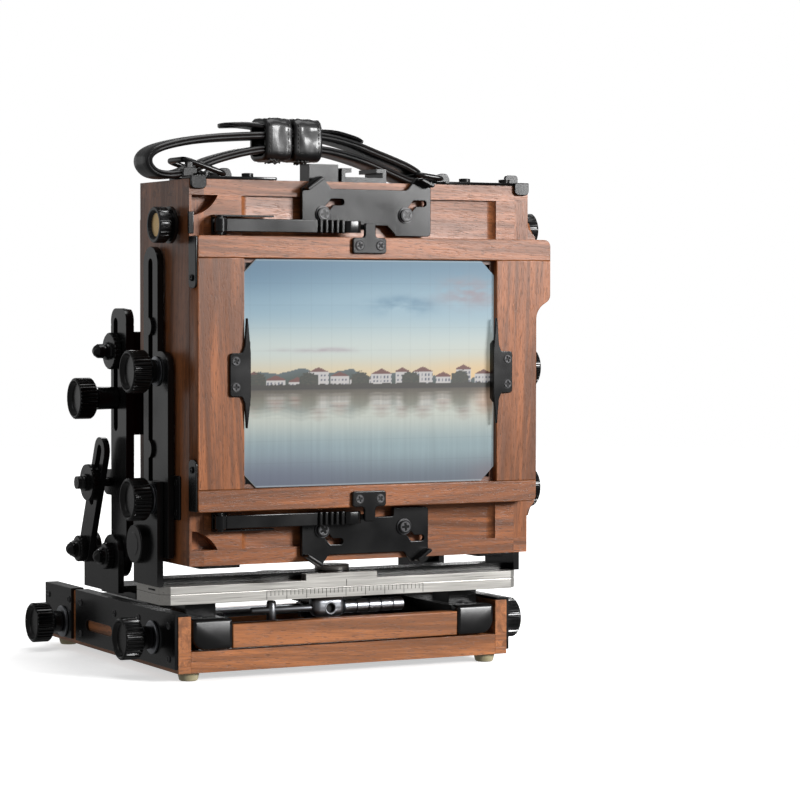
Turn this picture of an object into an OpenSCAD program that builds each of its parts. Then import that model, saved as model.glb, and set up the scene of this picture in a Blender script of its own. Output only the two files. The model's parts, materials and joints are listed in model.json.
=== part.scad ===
// Folding 4x5 inch field camera: walnut and black metal, standing on its feet.
// X is to the right seen from the ground glass, Y points to the lens, Z is up.
// The origin is the mouth of the tripod socket under the base.

/* [Base] */
// Half the width of the base
base_hw = 84; // [80:1:90]
// Rear face of the base
base_y0 = -73.5; // [-80:0.5:-70]
// Front face of the base
base_y1 = 93; // [90:1:110]
// Height of the side walls
base_h = 25.5; // [25:0.5:27]
// Thickness of the side walls
base_wall_t = 6.1; // [5:0.1:7]
// Thickness of the end walls
base_end_t = 7.5; // [6:0.5:8]
// Height of the low end walls
base_end_h = 9.5; // [8:0.5:9.5]
// Thickness of the floor plate
floor_t = 2.5; // [2:0.5:3]
// Thickness of the black side plates
side_plate_t = 1.5; // [1:0.1:1.8]
// Height of the rubber feet
foot_h = 4; // [3:0.5:6]
// Radius of the rubber feet
foot_r = 5; // [4:0.5:6]

/* [Tripod socket] */
// Wall radius of the threaded hole
socket_r = 4; // [3:0.05:4.8]
// Depth of the threaded hole
socket_depth = 8; // [6:0.5:9]

/* [Focus drives] */
// Module of the rack and pinion teeth
tooth_module = 0.8; // [0.7:0.05:0.8]
// Number of pinion teeth
pinion_teeth = 10; // [10:2:10]
// Radius of the two cross shafts
shaft_r = 2.5; // [2:0.1:2.5]
// Rear shaft along the camera
rear_shaft_y = -47.3; // [-48:0.1:-46]
// Rear shaft height
rear_shaft_z = 14; // [14:0.1:14]
// Front shaft along the camera
front_shaft_y = 68; // [66:0.5:70]
// Front shaft height
front_shaft_z = 9.6; // [9.6:0.1:9.6]

/* [Knobs] */
// Radius of the large knurled knobs
knob_r = 9.6; // [8:0.1:10]
// Length of the knurled part
knob_len = 9; // [7:0.5:9]
// Radius of the knob necks
knob_neck_r = 5; // [4:0.1:6]
// Radius of the clamp studs
stud_r = 2.5; // [2:0.1:2.5]

/* [Rear standard] */
// Half the width of the silver plates
plate_hw = 91.2; // [90:0.1:92]
// Rear face of the silver plates
plate_y0 = -72; // [-72:0.1:-70]
// Front face of the silver plates
plate_y1 = -42; // [-44:0.1:-40]
// Rear tilt pivot along the camera
tilt_y = -50; // [-52:0.5:-48]
// Rear tilt pivot height
tilt_z = 57; // [57:0.5:58]
// Half the width of the rear box
box_hw = 85.5; // [85:0.1:85.5]
// Rear face of the rear box
box_y0 = -89.6; // [-90:0.1:-89]
// Front edge of the rear box
box_y1 = -33; // [-36:0.5:-33]
// Underside of the rear box
box_z0 = 49.5; // [49:0.1:50]
// Top of the rear box
box_z1 = 220; // [218:0.5:220]
// Wall thickness of the rear box
box_t = 7; // [6:0.5:7]

/* [Focusing screen] */
// Half the width of the picture opening: 5 inches
screen_hw = 63.5; // [63.5:0.1:63.5]
// Half the height of the picture opening: 4 inches
screen_hh = 50.8; // [50.8:0.1:50.8]
// Height of the lens axis and of the middle of the screen
axis_z = 134.5; // [134.5:0.1:134.5]
// Cut at each corner of the glass
clip_cut = 6.5; // [5:0.5:8]

/* [Front standard] */
// Half the side of the walnut lens frame
lens_frame_h = 70; // [66:1:70]
// Front tilt pivot along the camera
front_tilt_y = 3; // [3:0.5:3]
// Front tilt pivot height
front_tilt_z = 47; // [47:0.5:47]
// Half the side of the lens board
board_h = 49; // [48:0.5:50]
// Radius of the shutter housing
shutter_r = 32; // [28:0.5:34]

/* [Handle] */
// Width of the leather strap
strap_w = 16; // [14:0.5:18]
// Thickness of one strap layer
strap_t = 2.6; // [2:0.1:3]

/* [Hidden] */
$fn = 48;

walnut = [0.45, 0.25, 0.15];
black_metal = [0.08, 0.08, 0.085];
silver = [0.7, 0.69, 0.66];
bright = [0.85, 0.85, 0.86];
leather = [0.06, 0.06, 0.06];
red = [0.5, 0.07, 0.1];
rubber = [0.55, 0.5, 0.35];
brass = [0.72, 0.55, 0.28];
glass_blue = [0.5, 0.7, 0.8, 0.6];

run_gap = 0.05;      // radial clearance of a shaft in its bore
slide_gap = 0.1;     // clearance between faces that slide
glue_gap = 0.02;     // glue line between two boards of one node
eps = 0.01;          // overlap that joins pieces of one solid

inner_hw = base_hw - base_wall_t;
pitch = PI * tooth_module;
pinion_pitch_r = tooth_module * pinion_teeth / 2;
tooth_h = 0.75 * tooth_module;   // short teeth, so a plain profile runs freely
rear_rack_z = rear_shaft_z + pinion_pitch_r;
front_rack_z = front_shaft_z + pinion_pitch_r;
rear_rail = [58, 76.9];          // across, each side
front_rail = [38, 56];
rack_x = [64, 71];
front_rack_x = [42, 49];
rear_rail_z = [rear_rack_z + tooth_h + 0.7, 23.5];
front_rail_z = [front_rack_z + tooth_h + 0.7, 20];
rear_rail_y = [-66, 45];
front_rail_y = [-20, 92];

lower_plate_z = [30.8, 35.4];
upper_plate_z = [35.5, 39];
plate_y = (plate_y0 + plate_y1) / 2;
swing_z = [39.1, 42.1];
ear_x = [89.8, 92.7];
arm_x = [86.6, 89.5];
clamp_knob_y = -62;
tilt_knob_z = 78;
rise_knob_z = 135;
arm_slot = [-57.1, -52.3];
rise_stud_y = (arm_slot[0] + arm_slot[1]) / 2;
lock_y = -60;
lock_z = 25;

face_y = -81;                    // front of the rear face board
lock_plate_y = [-92.2, -89.7];   // film lock plates
frame_y = [-99.8, -90];          // focusing screen frame
frame_x = [-85.7, 84.6];
frame_z = [74, 195];
rail_y = -92.6;                  // back of the rails, clear of the film locks
spring_y = [-98.5, -95.5];
spring_z = [196.6, 202.8];
spring_pivot_x = -73.8;

bed_z = [27, 30];
front_swing_z = [30.1, 33.1];
front_ear_x = [83.3, 86.3];
upright_x = [79, 83];
strut_x = [86.7, 89.7];
strut_pivot = [28.8, 48.6];
strut_top = [8.3, 96.1];
strut_stud = [14.8, 81];
front_swing_y = 8;
rise_y = 4;                      // studs in the slots of the uprights
rise_z = 121;
guide_z = 143;
lens_y = 10;                     // front of the lens board

// ---- helpers ----
module span(lo, hi) { translate(lo) cube(hi - lo); }
module both_sides() { children(); mirror([1, 0, 0]) children(); }
module about_axis() {
  children();
  translate([0, 0, 2 * axis_z]) mirror([0, 0, 1]) children();
}
module rod_x(r, x0, x1, y, z) {
  translate([x0, y, z]) rotate([0, 90, 0]) cylinder(h = x1 - x0, r = r);
}
module rod_y(r, y0, y1, x, z) {
  translate([x, y1, z]) rotate([90, 0, 0]) cylinder(h = y1 - y0, r = r);
}
module rod_z(r, z0, z1, x, y) { translate([x, y, z0]) cylinder(h = z1 - z0, r = r); }
// extrudes an outline drawn in (Y, Z) from x0 to x1
module extrude_x(x0, x1) {
  translate([x0, 0, 0]) rotate([90, 0, 90]) linear_extrude(x1 - x0) children();
}
// extrudes an outline drawn in (X, Z) from y0 to y1
module extrude_y(y0, y1) {
  translate([0, y1, 0]) rotate([90, 0, 0]) linear_extrude(y1 - y0) children();
}
function arc(centre, r, from, to, n = 10) =
  [for (i = [0 : n]) let (t = from + (to - from) * i / n) centre + r * [cos(t), sin(t)]];
// a slot with round ends at a and b
module slot_2d(a, b, w) {
  angle = atan2(b[1] - a[1], b[0] - a[0]);
  polygon(concat(arc(b, w / 2, angle - 90, angle + 90), arc(a, w / 2, angle + 90, angle + 270)));
}
function unit(v) = v / norm(v);
function side_of(pts, i) =
  let (d = unit(pts[min(i + 1, len(pts) - 1)] - pts[max(i - 1, 0)])) [-d[1], d[0]];
// the outline of a band of thickness t along a route
function ribbon(pts, t) = concat(
  [for (i = [0 : len(pts) - 1]) pts[i] + side_of(pts, i) * t / 2],
  [for (i = [len(pts) - 1 : -1 : 0]) pts[i] - side_of(pts, i) * t / 2]);

// rack teeth pointing down from z_root, one of them centred on y_mesh
module rack(x, y_mesh, y_low, y_high, z_pitch) {
  first = ceil((y_low - y_mesh) / pitch);
  last = floor((y_high - y_mesh) / pitch);
  root = z_pitch + tooth_h + 0.7;
  tip = z_pitch - tooth_h;
  extrude_x(x[0], x[1]) polygon(concat(
    [for (i = [first : last]) let (y = y_mesh + i * pitch)
      each [[y - 0.75, root - 0.2], [y - 0.3, tip], [y + 0.3, tip], [y + 0.75, root - 0.2]]],
    [[y_mesh + last * pitch + 0.75, root + 0.2], [y_mesh + first * pitch - 0.75, root + 0.2]]));
}
module pinion(x, y, z) {
  tip = pinion_pitch_r + tooth_h;
  root = pinion_pitch_r - tooth_h - 0.25;
  extrude_x(x[0] + 0.5, x[1] - 0.5) translate([y, z]) polygon([
    for (i = [0 : pinion_teeth - 1]) let (a = i * 360 / pinion_teeth)
      each [for (p = [[root, -12], [tip, -4], [tip, 4], [root, 12]])
        [p[0] * cos(a + p[1]), p[0] * sin(a + p[1])]]]);
}
// a knurled knob on the left, its face at x_face and its neck down to x_neck
module knob_left(x_face, x_neck, y, z) {
  rod_x(knob_r - 0.6, x_face, x_face + 0.8, y, z);
  rod_x(knob_r, x_face + 0.8 - eps, x_face + knob_len, y, z);
  rod_x(knob_neck_r, x_face + knob_len - eps, x_neck, y, z);
}
module clamp_knob_left(x_face, x_neck, x_tip, y, z) {
  knob_left(x_face, x_neck, y, z);
  rod_x(stud_r, x_neck - eps, x_tip, y, z);
}

// ---- base ----
module end_fingers(y, grow, gap) {
  band = base_end_h / 3;
  for (i = [0, 2])
    span([-base_hw - grow, y - gap, i * band - gap],
         [-inner_hw + gap + eps, y + base_end_t + gap, (i + 1) * band + gap]);
}
module shaft_holes(r) {
  rod_x(r, -base_hw - 4, base_hw + 4, rear_shaft_y, rear_shaft_z);
  rod_x(r, -base_hw - 4, base_hw + 4, front_shaft_y, front_shaft_z);
}
module base_walls() color(walnut) {
  ends = [base_y0, base_y1 - base_end_t];
  difference() {
    both_sides() span([-base_hw, base_y0, 0], [-inner_hw, base_y1, base_h]);
    both_sides() for (y = ends) end_fingers(y, 1, glue_gap);
    shaft_holes(shaft_r + 0.8);
  }
  for (y = ends) {
    span([-inner_hw + glue_gap, y, 0], [inner_hw - glue_gap, y + base_end_t, base_end_h]);
    both_sides() end_fingers(y, 0, 0);
  }
}
module base_floor() color(black_metal) difference() {
  span([-inner_hw, base_y0 + base_end_t, 0], [inner_hw, base_y1 - base_end_t, floor_t]);
  rod_z(10, -1, floor_t + 1, 0, 0);
}
module tripod_bush() color(bright) difference() {
  union() {
    rod_z(10, 0, 10, 0, 0);
    rod_z(15, floor_t, floor_t + 2, 0, 0);
  }
  rod_z(socket_r, -1, socket_depth, 0, 0);
}
module rubber_feet() color(rubber)
  for (x = [-76, 76], y = [-66, 85.5]) rod_z(foot_r, -foot_h, 0, x, y);

module side_plates() color(black_metal) both_sides() difference() {
  for (y = [[-73, 51], [57, 93]]) union() {
    span([-base_hw - side_plate_t, y[0], 2], [-base_hw, y[1], base_h + 1.2]);
    span([-base_hw - eps, y[0], base_h], [-inner_hw - 1, y[1], base_h + 1.2]);
  }
  extrude_x(-base_hw - 3, -base_hw + 1) slot_2d([6, 11], [35, 11], 5);
  shaft_holes(shaft_r + 0.8);
}
module guide_rails() color(black_metal) both_sides() difference() {
  union() {
    span([72, -60, floor_t], [76.9, 80, rear_rail_z[0] - slide_gap]);
    span([51, -20, floor_t], [56, 80, front_rail_z[0] - slide_gap]);
  }
  rod_x(shaft_r + run_gap, 40, 90, rear_shaft_y, rear_shaft_z);
  rod_x(shaft_r + run_gap, 40, 90, front_shaft_y, front_shaft_z);
}
module bellows() color(red) difference() {
  span([-75.5, -60, 61], [75.5, -8.1, 207]);
  span([-73.5, -61, 63], [73.5, -7, 205]);
}

// ---- rear tray ----
module rear_tray() color(black_metal) both_sides() {
  difference() {
    span([rear_rail[0], rear_rail_y[0], rear_rail_z[0]],
         [rear_rail[1], rear_rail_y[1], rear_rail_z[1]]);
    rod_z(2, rear_rail_z[0] + 2, 30, 67.5, -63);
  }
  rack(rack_x, rear_shaft_y, -58, 24, rear_rack_z);
  span([60, -60, rear_rail_z[1] - eps], [75, -44, lower_plate_z[0]]);
}
module tray_bar() color(walnut)
  span([-57.4, base_y0, 10.3], [57.4, base_y0 + base_end_t, 21.2]);
module tray_caps() color(black_metal) both_sides() difference() {
  span([57.4, base_y0, 10], [77, base_y0 + base_end_t, 24]);
  difference() {
    span([70, base_y0 - 1, 9], [78, base_y0 + base_end_t + 1, 17]);
    rod_y(7, base_y0 - 2, base_y0 + base_end_t + 2, 70, 17);
  }
}
module chamfered_plate(z) {
  c = 4;
  translate([0, 0, z[0]]) linear_extrude(z[1] - z[0]) polygon([
    [-plate_hw + c, plate_y0], [plate_hw - c, plate_y0], [plate_hw, plate_y0 + c],
    [plate_hw, plate_y1], [-plate_hw, plate_y1], [-plate_hw, plate_y0 + c]]);
}
module scale_plate() color(silver) difference() {
  chamfered_plate(lower_plate_z);
  both_sides() translate([0, 0, lower_plate_z[0] - 1]) linear_extrude(7)
    slot_2d([24, plate_y], [56, plate_y], 6.2);
}
module shift_lock_block() color(silver) difference() {
  union() {
    span([-12, lock_y - 4, lock_z], [3.8, lock_y + 4, lower_plate_z[0]]);
    rod_x(4, -12, 3.8, lock_y, lock_z);
  }
  rod_x(1.6 + run_gap, -13, 5, lock_y, lock_z);
}
module shift_lock_barrel() color(bright) {
  rod_x(1.6, -42, 4.2, lock_y, lock_z);
  for (i = [0 : 4]) {
    rod_x(3.25, 4 + i * 6.3, 9.5 + i * 6.3, lock_y, lock_z);
    rod_x(2.8, 9 + i * 6.3, 10.4 + i * 6.3, lock_y, lock_z);
  }
  span([-33.4, lock_y - 2.6, lock_z - 3], [-31.4, lock_y + 2.6, lock_z + 3]);
}

// ---- focus shafts ----
module focus_shaft(y, z, rack_span) {
  rod_x(shaft_r, -97, 97, y, z);
  both_sides() pinion(rack_span, y, z);
}
module focus_knobs(y, z) both_sides() difference() {
  knob_left(-102, -87.2, y, z);
  rod_x(shaft_r, -97, -80, y, z);
}
module rear_focus_shaft() color(bright) focus_shaft(rear_shaft_y, rear_shaft_z, rack_x);
module rear_focus_knobs() color(black_metal) focus_knobs(rear_shaft_y, rear_shaft_z);
module front_focus_shaft() color(bright)
  focus_shaft(front_shaft_y, front_shaft_z, front_rack_x);
module front_focus_knobs() color(black_metal) focus_knobs(front_shaft_y, front_shaft_z);

// ---- shift, swing and tilt of the rear ----
module shift_plate() color(silver) {
  chamfered_plate(upper_plate_z);
  both_sides() rod_z(3, lower_plate_z[0] + 0.3, upper_plate_z[0] + eps, 40, plate_y);
  span([-20.4, plate_y0, upper_plate_z[1] - eps], [16, plate_y0 + 5, 42]);
  rod_z(5, upper_plate_z[1] - eps, swing_z[1] + 0.1, 0, plate_y);
  rod_z(8, swing_z[1] + 0.1 - eps, swing_z[1] + 2.4, 0, plate_y);
}
module swing_plate() color(black_metal) difference() {
  union() {
    span([-ear_x[1], plate_y - 6, swing_z[0]], [ear_x[1], plate_y + 6, swing_z[1]]);
    rod_z(9.4, swing_z[0], swing_z[1], 0, plate_y);
    both_sides() {
      extrude_x(-ear_x[1], -ear_x[0]) {
        translate([-70, swing_z[0]]) square([28, 40]);
        translate([-70, 75]) square([16, 11]);
        translate([-54, 78]) circle(8);
        translate([-50, 70]) circle(8);
      }
      rod_x(8.5, -ear_x[1] - 3.2, -ear_x[1] + eps, tilt_y, tilt_z);
      rod_x(4, -ear_x[1] - 1, -arm_x[0], tilt_y, tilt_z);
    }
  }
  rod_z(5 + run_gap, 38, 44, 0, plate_y);
  rod_x(stud_r + run_gap, -ear_x[1] - 1, -ear_x[0] + 1, clamp_knob_y, tilt_knob_z);
  rod_x(stud_r + run_gap, ear_x[0] - 1, ear_x[1] + 1, clamp_knob_y, tilt_knob_z);
}
module arm_outline() {
  top_r = 8.3;
  difference() {
    union() {
      translate([rise_stud_y - top_r, 57]) square([2 * top_r, 182.5 - 57]);
      translate([rise_stud_y, 182.5]) circle(top_r);
      translate([-74.8, 52]) square([74.8 + rise_stud_y, 84]);
      translate([-66.8, 136]) square([12, 8]);
      translate([-66.8, 136]) circle(8);
      translate([tilt_y, tilt_z]) circle(13);
    }
    translate([tilt_y, tilt_z]) circle(4 + run_gap);
    translate([clamp_knob_y, rise_knob_z]) circle(stud_r + run_gap);
    slot_2d([rise_stud_y, 84], [rise_stud_y, 183], arm_slot[1] - arm_slot[0]);
  }
}
module rear_arms() color(black_metal)
  both_sides() extrude_x(-arm_x[1], -arm_x[0]) arm_outline();

module rear_tilt_knob_left() color(black_metal)
  clamp_knob_left(-104, -ear_x[1] - 0.1, -arm_x[1] - 0.1, clamp_knob_y, tilt_knob_z);
module rear_tilt_knob_right() mirror([1, 0, 0]) rear_tilt_knob_left();
module rear_rise_knob_left() color(black_metal)
  clamp_knob_left(-104, -arm_x[1] - 0.1, -box_hw - 0.1, clamp_knob_y, rise_knob_z);
module rear_rise_knob_right() mirror([1, 0, 0]) rear_rise_knob_left();

// ---- rear box ----
// every second of seven fingers along the left corner, between heights z[0] and z[1]
module corner_fingers(y, z, grow, gap) {
  n = 7;
  function place(i) = round(10 * (y[0] + i * (y[1] - y[0]) / n)) / 10;
  for (i = [0 : 2 : n - 1])
    span([-box_hw - grow, place(i) - gap, z[0] - gap],
         [-box_hw + box_t + gap + eps, place(i + 1) + gap, z[1] + gap]);
}
module box_side_outline() {
  notch = [-40, 143];            // the front edge steps back below this height
  r = box_y1 - notch[0];
  polygon(concat(
    [[box_y0, box_z0], [notch[0], box_z0]],
    arc([box_y1, notch[1] - r], r, 180, 90),
    [[box_y1, box_z1], [box_y0, box_z1]]));
}
module rear_box() color(walnut) {
  top_z = [box_z1 - box_t, box_z1];
  bottom_z = [box_z0, box_z0 + box_t];
  top_y = [box_y0, box_y1];
  bottom_y = [box_y0, -40];
  both_sides() difference() {
    extrude_x(-box_hw, -box_hw + box_t) box_side_outline();
    corner_fingers(top_y, top_z, 1, glue_gap);
    corner_fingers(bottom_y, bottom_z, 1, glue_gap);
    for (p = [[rise_stud_y, 100], [rise_stud_y, 155], [-74, 200]])
      rod_x(stud_r, -box_hw - 1, -box_hw + 5, p[0], p[1]);
  }
  for (board = [[top_y, top_z], [bottom_y, bottom_z]]) {
    y = board[0];
    z = board[1];
    hw = box_hw - box_t - glue_gap;
    span([-hw, y[0], z[0]], [hw, y[1], z[1]]);
    both_sides() corner_fingers(y, z, 0, 0);
  }
}
module rear_face() color(walnut) difference() {
  union() {
    span([-box_hw + box_t, box_y0, box_z0 + box_t], [box_hw - box_t, face_y, box_z1 - box_t]);
    span([box_hw, box_y0, 66], [89.5, face_y - 3, 203]);
  }
  span([-66, box_y0 - 1, 81], [66, face_y + 1, 188]);
}
module lock_pin(x, z) {
  rod_y(1.5, lock_plate_y[0] - 0.2, box_y0, x, z);
  rod_y(3, lock_plate_y[0] - 1.8, lock_plate_y[0] - 0.1, x, z);
}
module box_fittings() color(black_metal) {
  // guide studs that run in the arms
  both_sides() for (z = [100, 155]) {
    rod_x(stud_r, -box_hw - eps, -box_hw + 5, rise_stud_y, z);
    rod_x(2.3, -arm_x[1] - 0.2, -box_hw, rise_stud_y, z);
    rod_x(4.2, -arm_x[1] - 1.4, -arm_x[1] - 0.1, rise_stud_y, z);
  }
  // pins of the film locks and brackets of the spring arms
  for (x = [-21.8, 19.9]) lock_pin(x, 205.4);
  for (x = [-22, 19.3]) lock_pin(x, 63.8);
  about_axis() {
    span([-77.2, -91.2, 195.3], [-70.4, box_y0, 206]);
    rod_z(1.5, spring_z[0] - 1, spring_z[1] + 1, spring_pivot_x, -97);
    for (z = [spring_z[0] - 1.3, spring_z[1] + 0.1])
      span([spring_pivot_x - 3, -99, z], [spring_pivot_x + 3, -91.2 + eps, z + 1.2]);
  }
  // accessory shoe and the block of the level
  span([-10.3, -88, box_z1], [12.3, -70, box_z1 + 2.4]);
  for (x = [-10.3, 10.4]) span([x, -88, box_z1 + 2], [x + 1.9, -70, box_z1 + 6.4]);
  span([-10.3, -88, box_z1 + 4.5], [-5.3, -70, box_z1 + 6.4]);
  span([7.3, -88, box_z1 + 4.5], [12.3, -70, box_z1 + 6.4]);
  difference() {
    span([-26, -87, box_z1], [-11.5, -77, box_z1 + 8]);
    rod_x(2.6, -25, -12.5, -82, box_z1 + 4.8);
    span([-22.5, -84, box_z1 + 5], [-15, -80, box_z1 + 9]);
  }
  // screws that the latches slide on
  both_sides() for (x = latch_screw_x) {
    rod_z(1.5, box_z1, box_z1 + 1.7, x, -84);
    rod_z(2.6, box_z1 + 1.6, box_z1 + 3.1, x, -84);
  }
}
module level_vial() color([0.7, 0.85, 0.2]) rod_x(2.6, -25, -12.5, -82, box_z1 + 4.8);

module strap_anchors() color(black_metal) {
  for (x = [[-84, -62], [44, 66]]) {
    span([x[0], -69, box_z1], [x[1], -54, box_z1 + 1.6]);
    for (y = [-69, -56]) span([x[0] + 4, y, box_z1], [x[0] + 16, y + 2, box_z1 + 7]);
  }
  rod_y(1.6, -68, -55, -74, box_z1 + 5);
  rod_y(1.6, -68, -55, 54, box_z1 + 5);
}
strap_y = [-61.5 - strap_w / 2, -61.5 + strap_w / 2];
upper_route = [[-76, 225], [-84, 224.2], [-92, 224.6], [-97, 227.4], [-97.5, 231], [-92, 234.6],
  [-80, 237.4], [-66, 239], [-52, 240], [-38, 240.8], [-22, 241.8], [-6, 241.6], [8, 238.8],
  [22, 235.4], [34, 232], [44, 229.6], [51, 229.4]];
lower_route = [[-70, 228.4], [-62, 231], [-50, 233.6], [-38, 235.4], [-22, 236.2], [-6, 235.6],
  [8, 232.8], [20, 229.6], [30, 226.4], [38, 223.6], [43, 222.2]];
tail_route = [[-38, 245], [-48, 245.8], [-58, 245.4]];
module strap_bands() {
  for (route = [upper_route, lower_route, tail_route])
    extrude_y(strap_y[0], strap_y[1]) polygon(ribbon(route, strap_t));
}
module handle_strap() color(leather) difference() {
  strap_bands();
  strap_anchors();
}
module handle_sleeve() color(leather) difference() {
  extrude_y(strap_y[0] - 3, strap_y[1] + 3)
    polygon([[-37, 231], [-10, 231], [-8, 233], [-8, 246], [-10, 248.6], [-37, 249.4],
      [-39, 247], [-39, 233]]);
  strap_bands();
}

module back_lock_left() color(brass) {
  rod_x(8, -96, -89, -74, 200);
  rod_x(4, -89 - eps, -box_hw - 0.1, -74, 200);
  rod_x(stud_r - run_gap, -box_hw - 0.2, -box_hw + 4.8, -74, 200);
}
module back_lock_right() mirror([1, 0, 0]) back_lock_left();
latch_screw_x = [-76, -55];
module top_latch_left() color(black_metal) {
  y = [-88, -80];
  difference() {
    span([-85.3, y[0], box_z1 + slide_gap], [-42, y[1], box_z1 + 1.4]);
    for (x = latch_screw_x) translate([0, 0, box_z1 - 1]) linear_extrude(4)
      slot_2d([x - 5.2, -84], [x + 0.2, -84], 3.4);
  }
  span([-85.3, box_y0 - 1.5, box_z1 + slide_gap], [-77.7, y[0] + eps, box_z1 + 1.4]);
  span([-85.3, box_y0 - 1.5, 215.9], [-77.7, box_y0 - slide_gap, box_z1 + 1]);
  span([-84.9, -81.2, box_z1 + 1.3], [-78, y[1], box_z1 + 5.5]);
}
module top_latch_right() mirror([1, 0, 0]) top_latch_left();

// ---- film locks: plates that slide on the slant of their slots ----
// tab_2d is the outline of a thumb tab along the edge from a to b, folded to the back
module tab_2d(a, b, t) {
  d = unit(b - a);
  n = t * [d[1], -d[0]];
  polygon([a + 0.4 * d, b - 0.4 * d, b - 0.4 * d + n, a + 0.4 * d + n]);
}
module film_lock_plate(outline, pins, ends, tabs) {
  extrude_y(lock_plate_y[0], lock_plate_y[1]) difference() {
    polygon(outline);
    for (i = [0, 1]) slot_2d(pins[i], ends[i], 3.4);
  }
  for (tab = tabs) extrude_y(-97.4, lock_plate_y[0] + 0.5) tab_2d(tab[0], tab[1], tab[2]);
}
module film_lock_top() color(black_metal) film_lock_plate(
  [[-32, 200.5], [10.7, 200.5], [14.7, 196.5], [14.7, 195.9], [33, 195.9], [33, 219.6],
    [26, 222.6], [20.6, 216.8], [-17.4, 216.8], [-22.2, 222.4], [-24.2, 222.2], [-32, 216.9]],
  [[-21.8, 205.4], [19.9, 205.4]], [[-13, 210.7], [28.7, 210.7]],
  [[[-32, 216.6], [-23.6, 222.4], 1.6], [[25.7, 222.6], [33, 219.3], 1.6]]);
module film_lock_bottom() color(black_metal) film_lock_plate(
  [[-32, 68.7], [-32, 52.5], [-24, 47.2], [-22.6, 47.2], [-18.6, 52.4], [19.6, 52.4],
    [23.6, 47.6], [25.2, 47.8], [32, 52.9], [32, 72.6], [14.2, 72.6], [14.2, 68.7]],
  [[-22, 63.8], [19.3, 63.8]], [[-13.2, 58.5], [28.1, 58.5]],
  [[[-32, 52.3], [-23.8, 47.2], -1.6], [[24.4, 47.6], [32, 52.8], -1.6]]);

// ---- spring arms of the focusing screen ----
module spring_arm() {
  difference() {
    union() {
      span([spring_pivot_x, spring_y[0], spring_z[0]], [-27, spring_y[1], spring_z[1]]);
      rod_z(2.6, spring_z[0], spring_z[1], spring_pivot_x, -97);
      span([-27.01, spring_y[0] - 1, spring_z[0]], [-13, spring_y[1], spring_z[1]]);
      span([-13.01, spring_y[0], spring_z[0] + 1.5], [-2, spring_y[1], spring_z[1] - 1.8]);
    }
    rod_z(1.5 + run_gap, spring_z[0] - 1, spring_z[1] + 1, spring_pivot_x, -97);
  }
}
module spring_arm_top() color(black_metal) spring_arm();
module spring_arm_bottom() color(black_metal)
  translate([0, 0, 2 * axis_z]) mirror([0, 0, 1]) spring_arm();

// ---- focusing screen ----
module glass_outline(hw, hh, cut) {
  translate([0, axis_z]) polygon([[-hw + cut, -hh], [hw - cut, -hh], [hw, -hh + cut],
    [hw, hh - cut], [hw - cut, hh], [-hw + cut, hh], [-hw, hh - cut], [-hw, -hh + cut]]);
}
module screen_frame() color(walnut) {
  rail_z = axis_z + screen_hh;
  difference() {
    union() {
      // rails run the whole width, and the stiles end between and behind them
      about_axis() span([frame_x[0], frame_y[0], rail_z], [frame_x[1], rail_y, frame_z[1]]);
      extrude_y(frame_y[0], rail_y) translate([frame_x[1] - eps, rail_z])
        square([92 - frame_x[1] + eps, frame_z[1] - rail_z]);
      for (x = [[frame_x[0], -screen_hw], [screen_hw, frame_x[1]]]) {
        span([x[0], frame_y[0], 2 * axis_z - rail_z + glue_gap],
             [x[1], frame_y[1], rail_z - glue_gap]);
        span([x[0], rail_y + glue_gap, frame_z[0]], [x[1], frame_y[1], frame_z[1]]);
      }
      extrude_y(frame_y[0], frame_y[1]) polygon([[frame_x[1] - eps, 160], [92, 168],
        [92, rail_z - glue_gap], [frame_x[1] - eps, rail_z - glue_gap]]);
      // ledge that the glass and the sheet lie on
      about_axis() span([-61.5, -96.2, 183.3], [61.5, -94.2, rail_z + eps]);
      both_sides() span([-screen_hw - eps, -96.2, 85.7], [-61.5, -94.2, 183.3]);
    }
    extrude_y(-94.2, frame_y[1] + 1)
      translate([-66.2, axis_z - 53.5]) square([132.4, 107]);
  }
}
module ground_glass() color(glass_blue)
  extrude_y(-94.2, -92.2) glass_outline(66, 53.3, clip_cut);
module fresnel_sheet() color(glass_blue)
  extrude_y(-97.7, -96.2) glass_outline(63.3, 50.6, clip_cut);
module screen_clips() color(black_metal) both_sides() {
  span([-71, frame_y[0] - 1.5, 124], [-60.5, frame_y[0], 144]);
  span([-65, frame_y[0] - 1.5, 110], [-62.2, frame_y[0], 159]);
  span([-63, -97.9 - 2, 110], [-60.5, -97.7, 159]);
}
module screen_lugs() color(black_metal) about_axis() {
  span([-11, frame_y[0] - 1.7, 187.8], [5.7, frame_y[0], 194.6]);
  span([-5, frame_y[0] - 1.7, 187.8], [1, frame_y[0] - 0.2, 201.4]);
}

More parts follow.
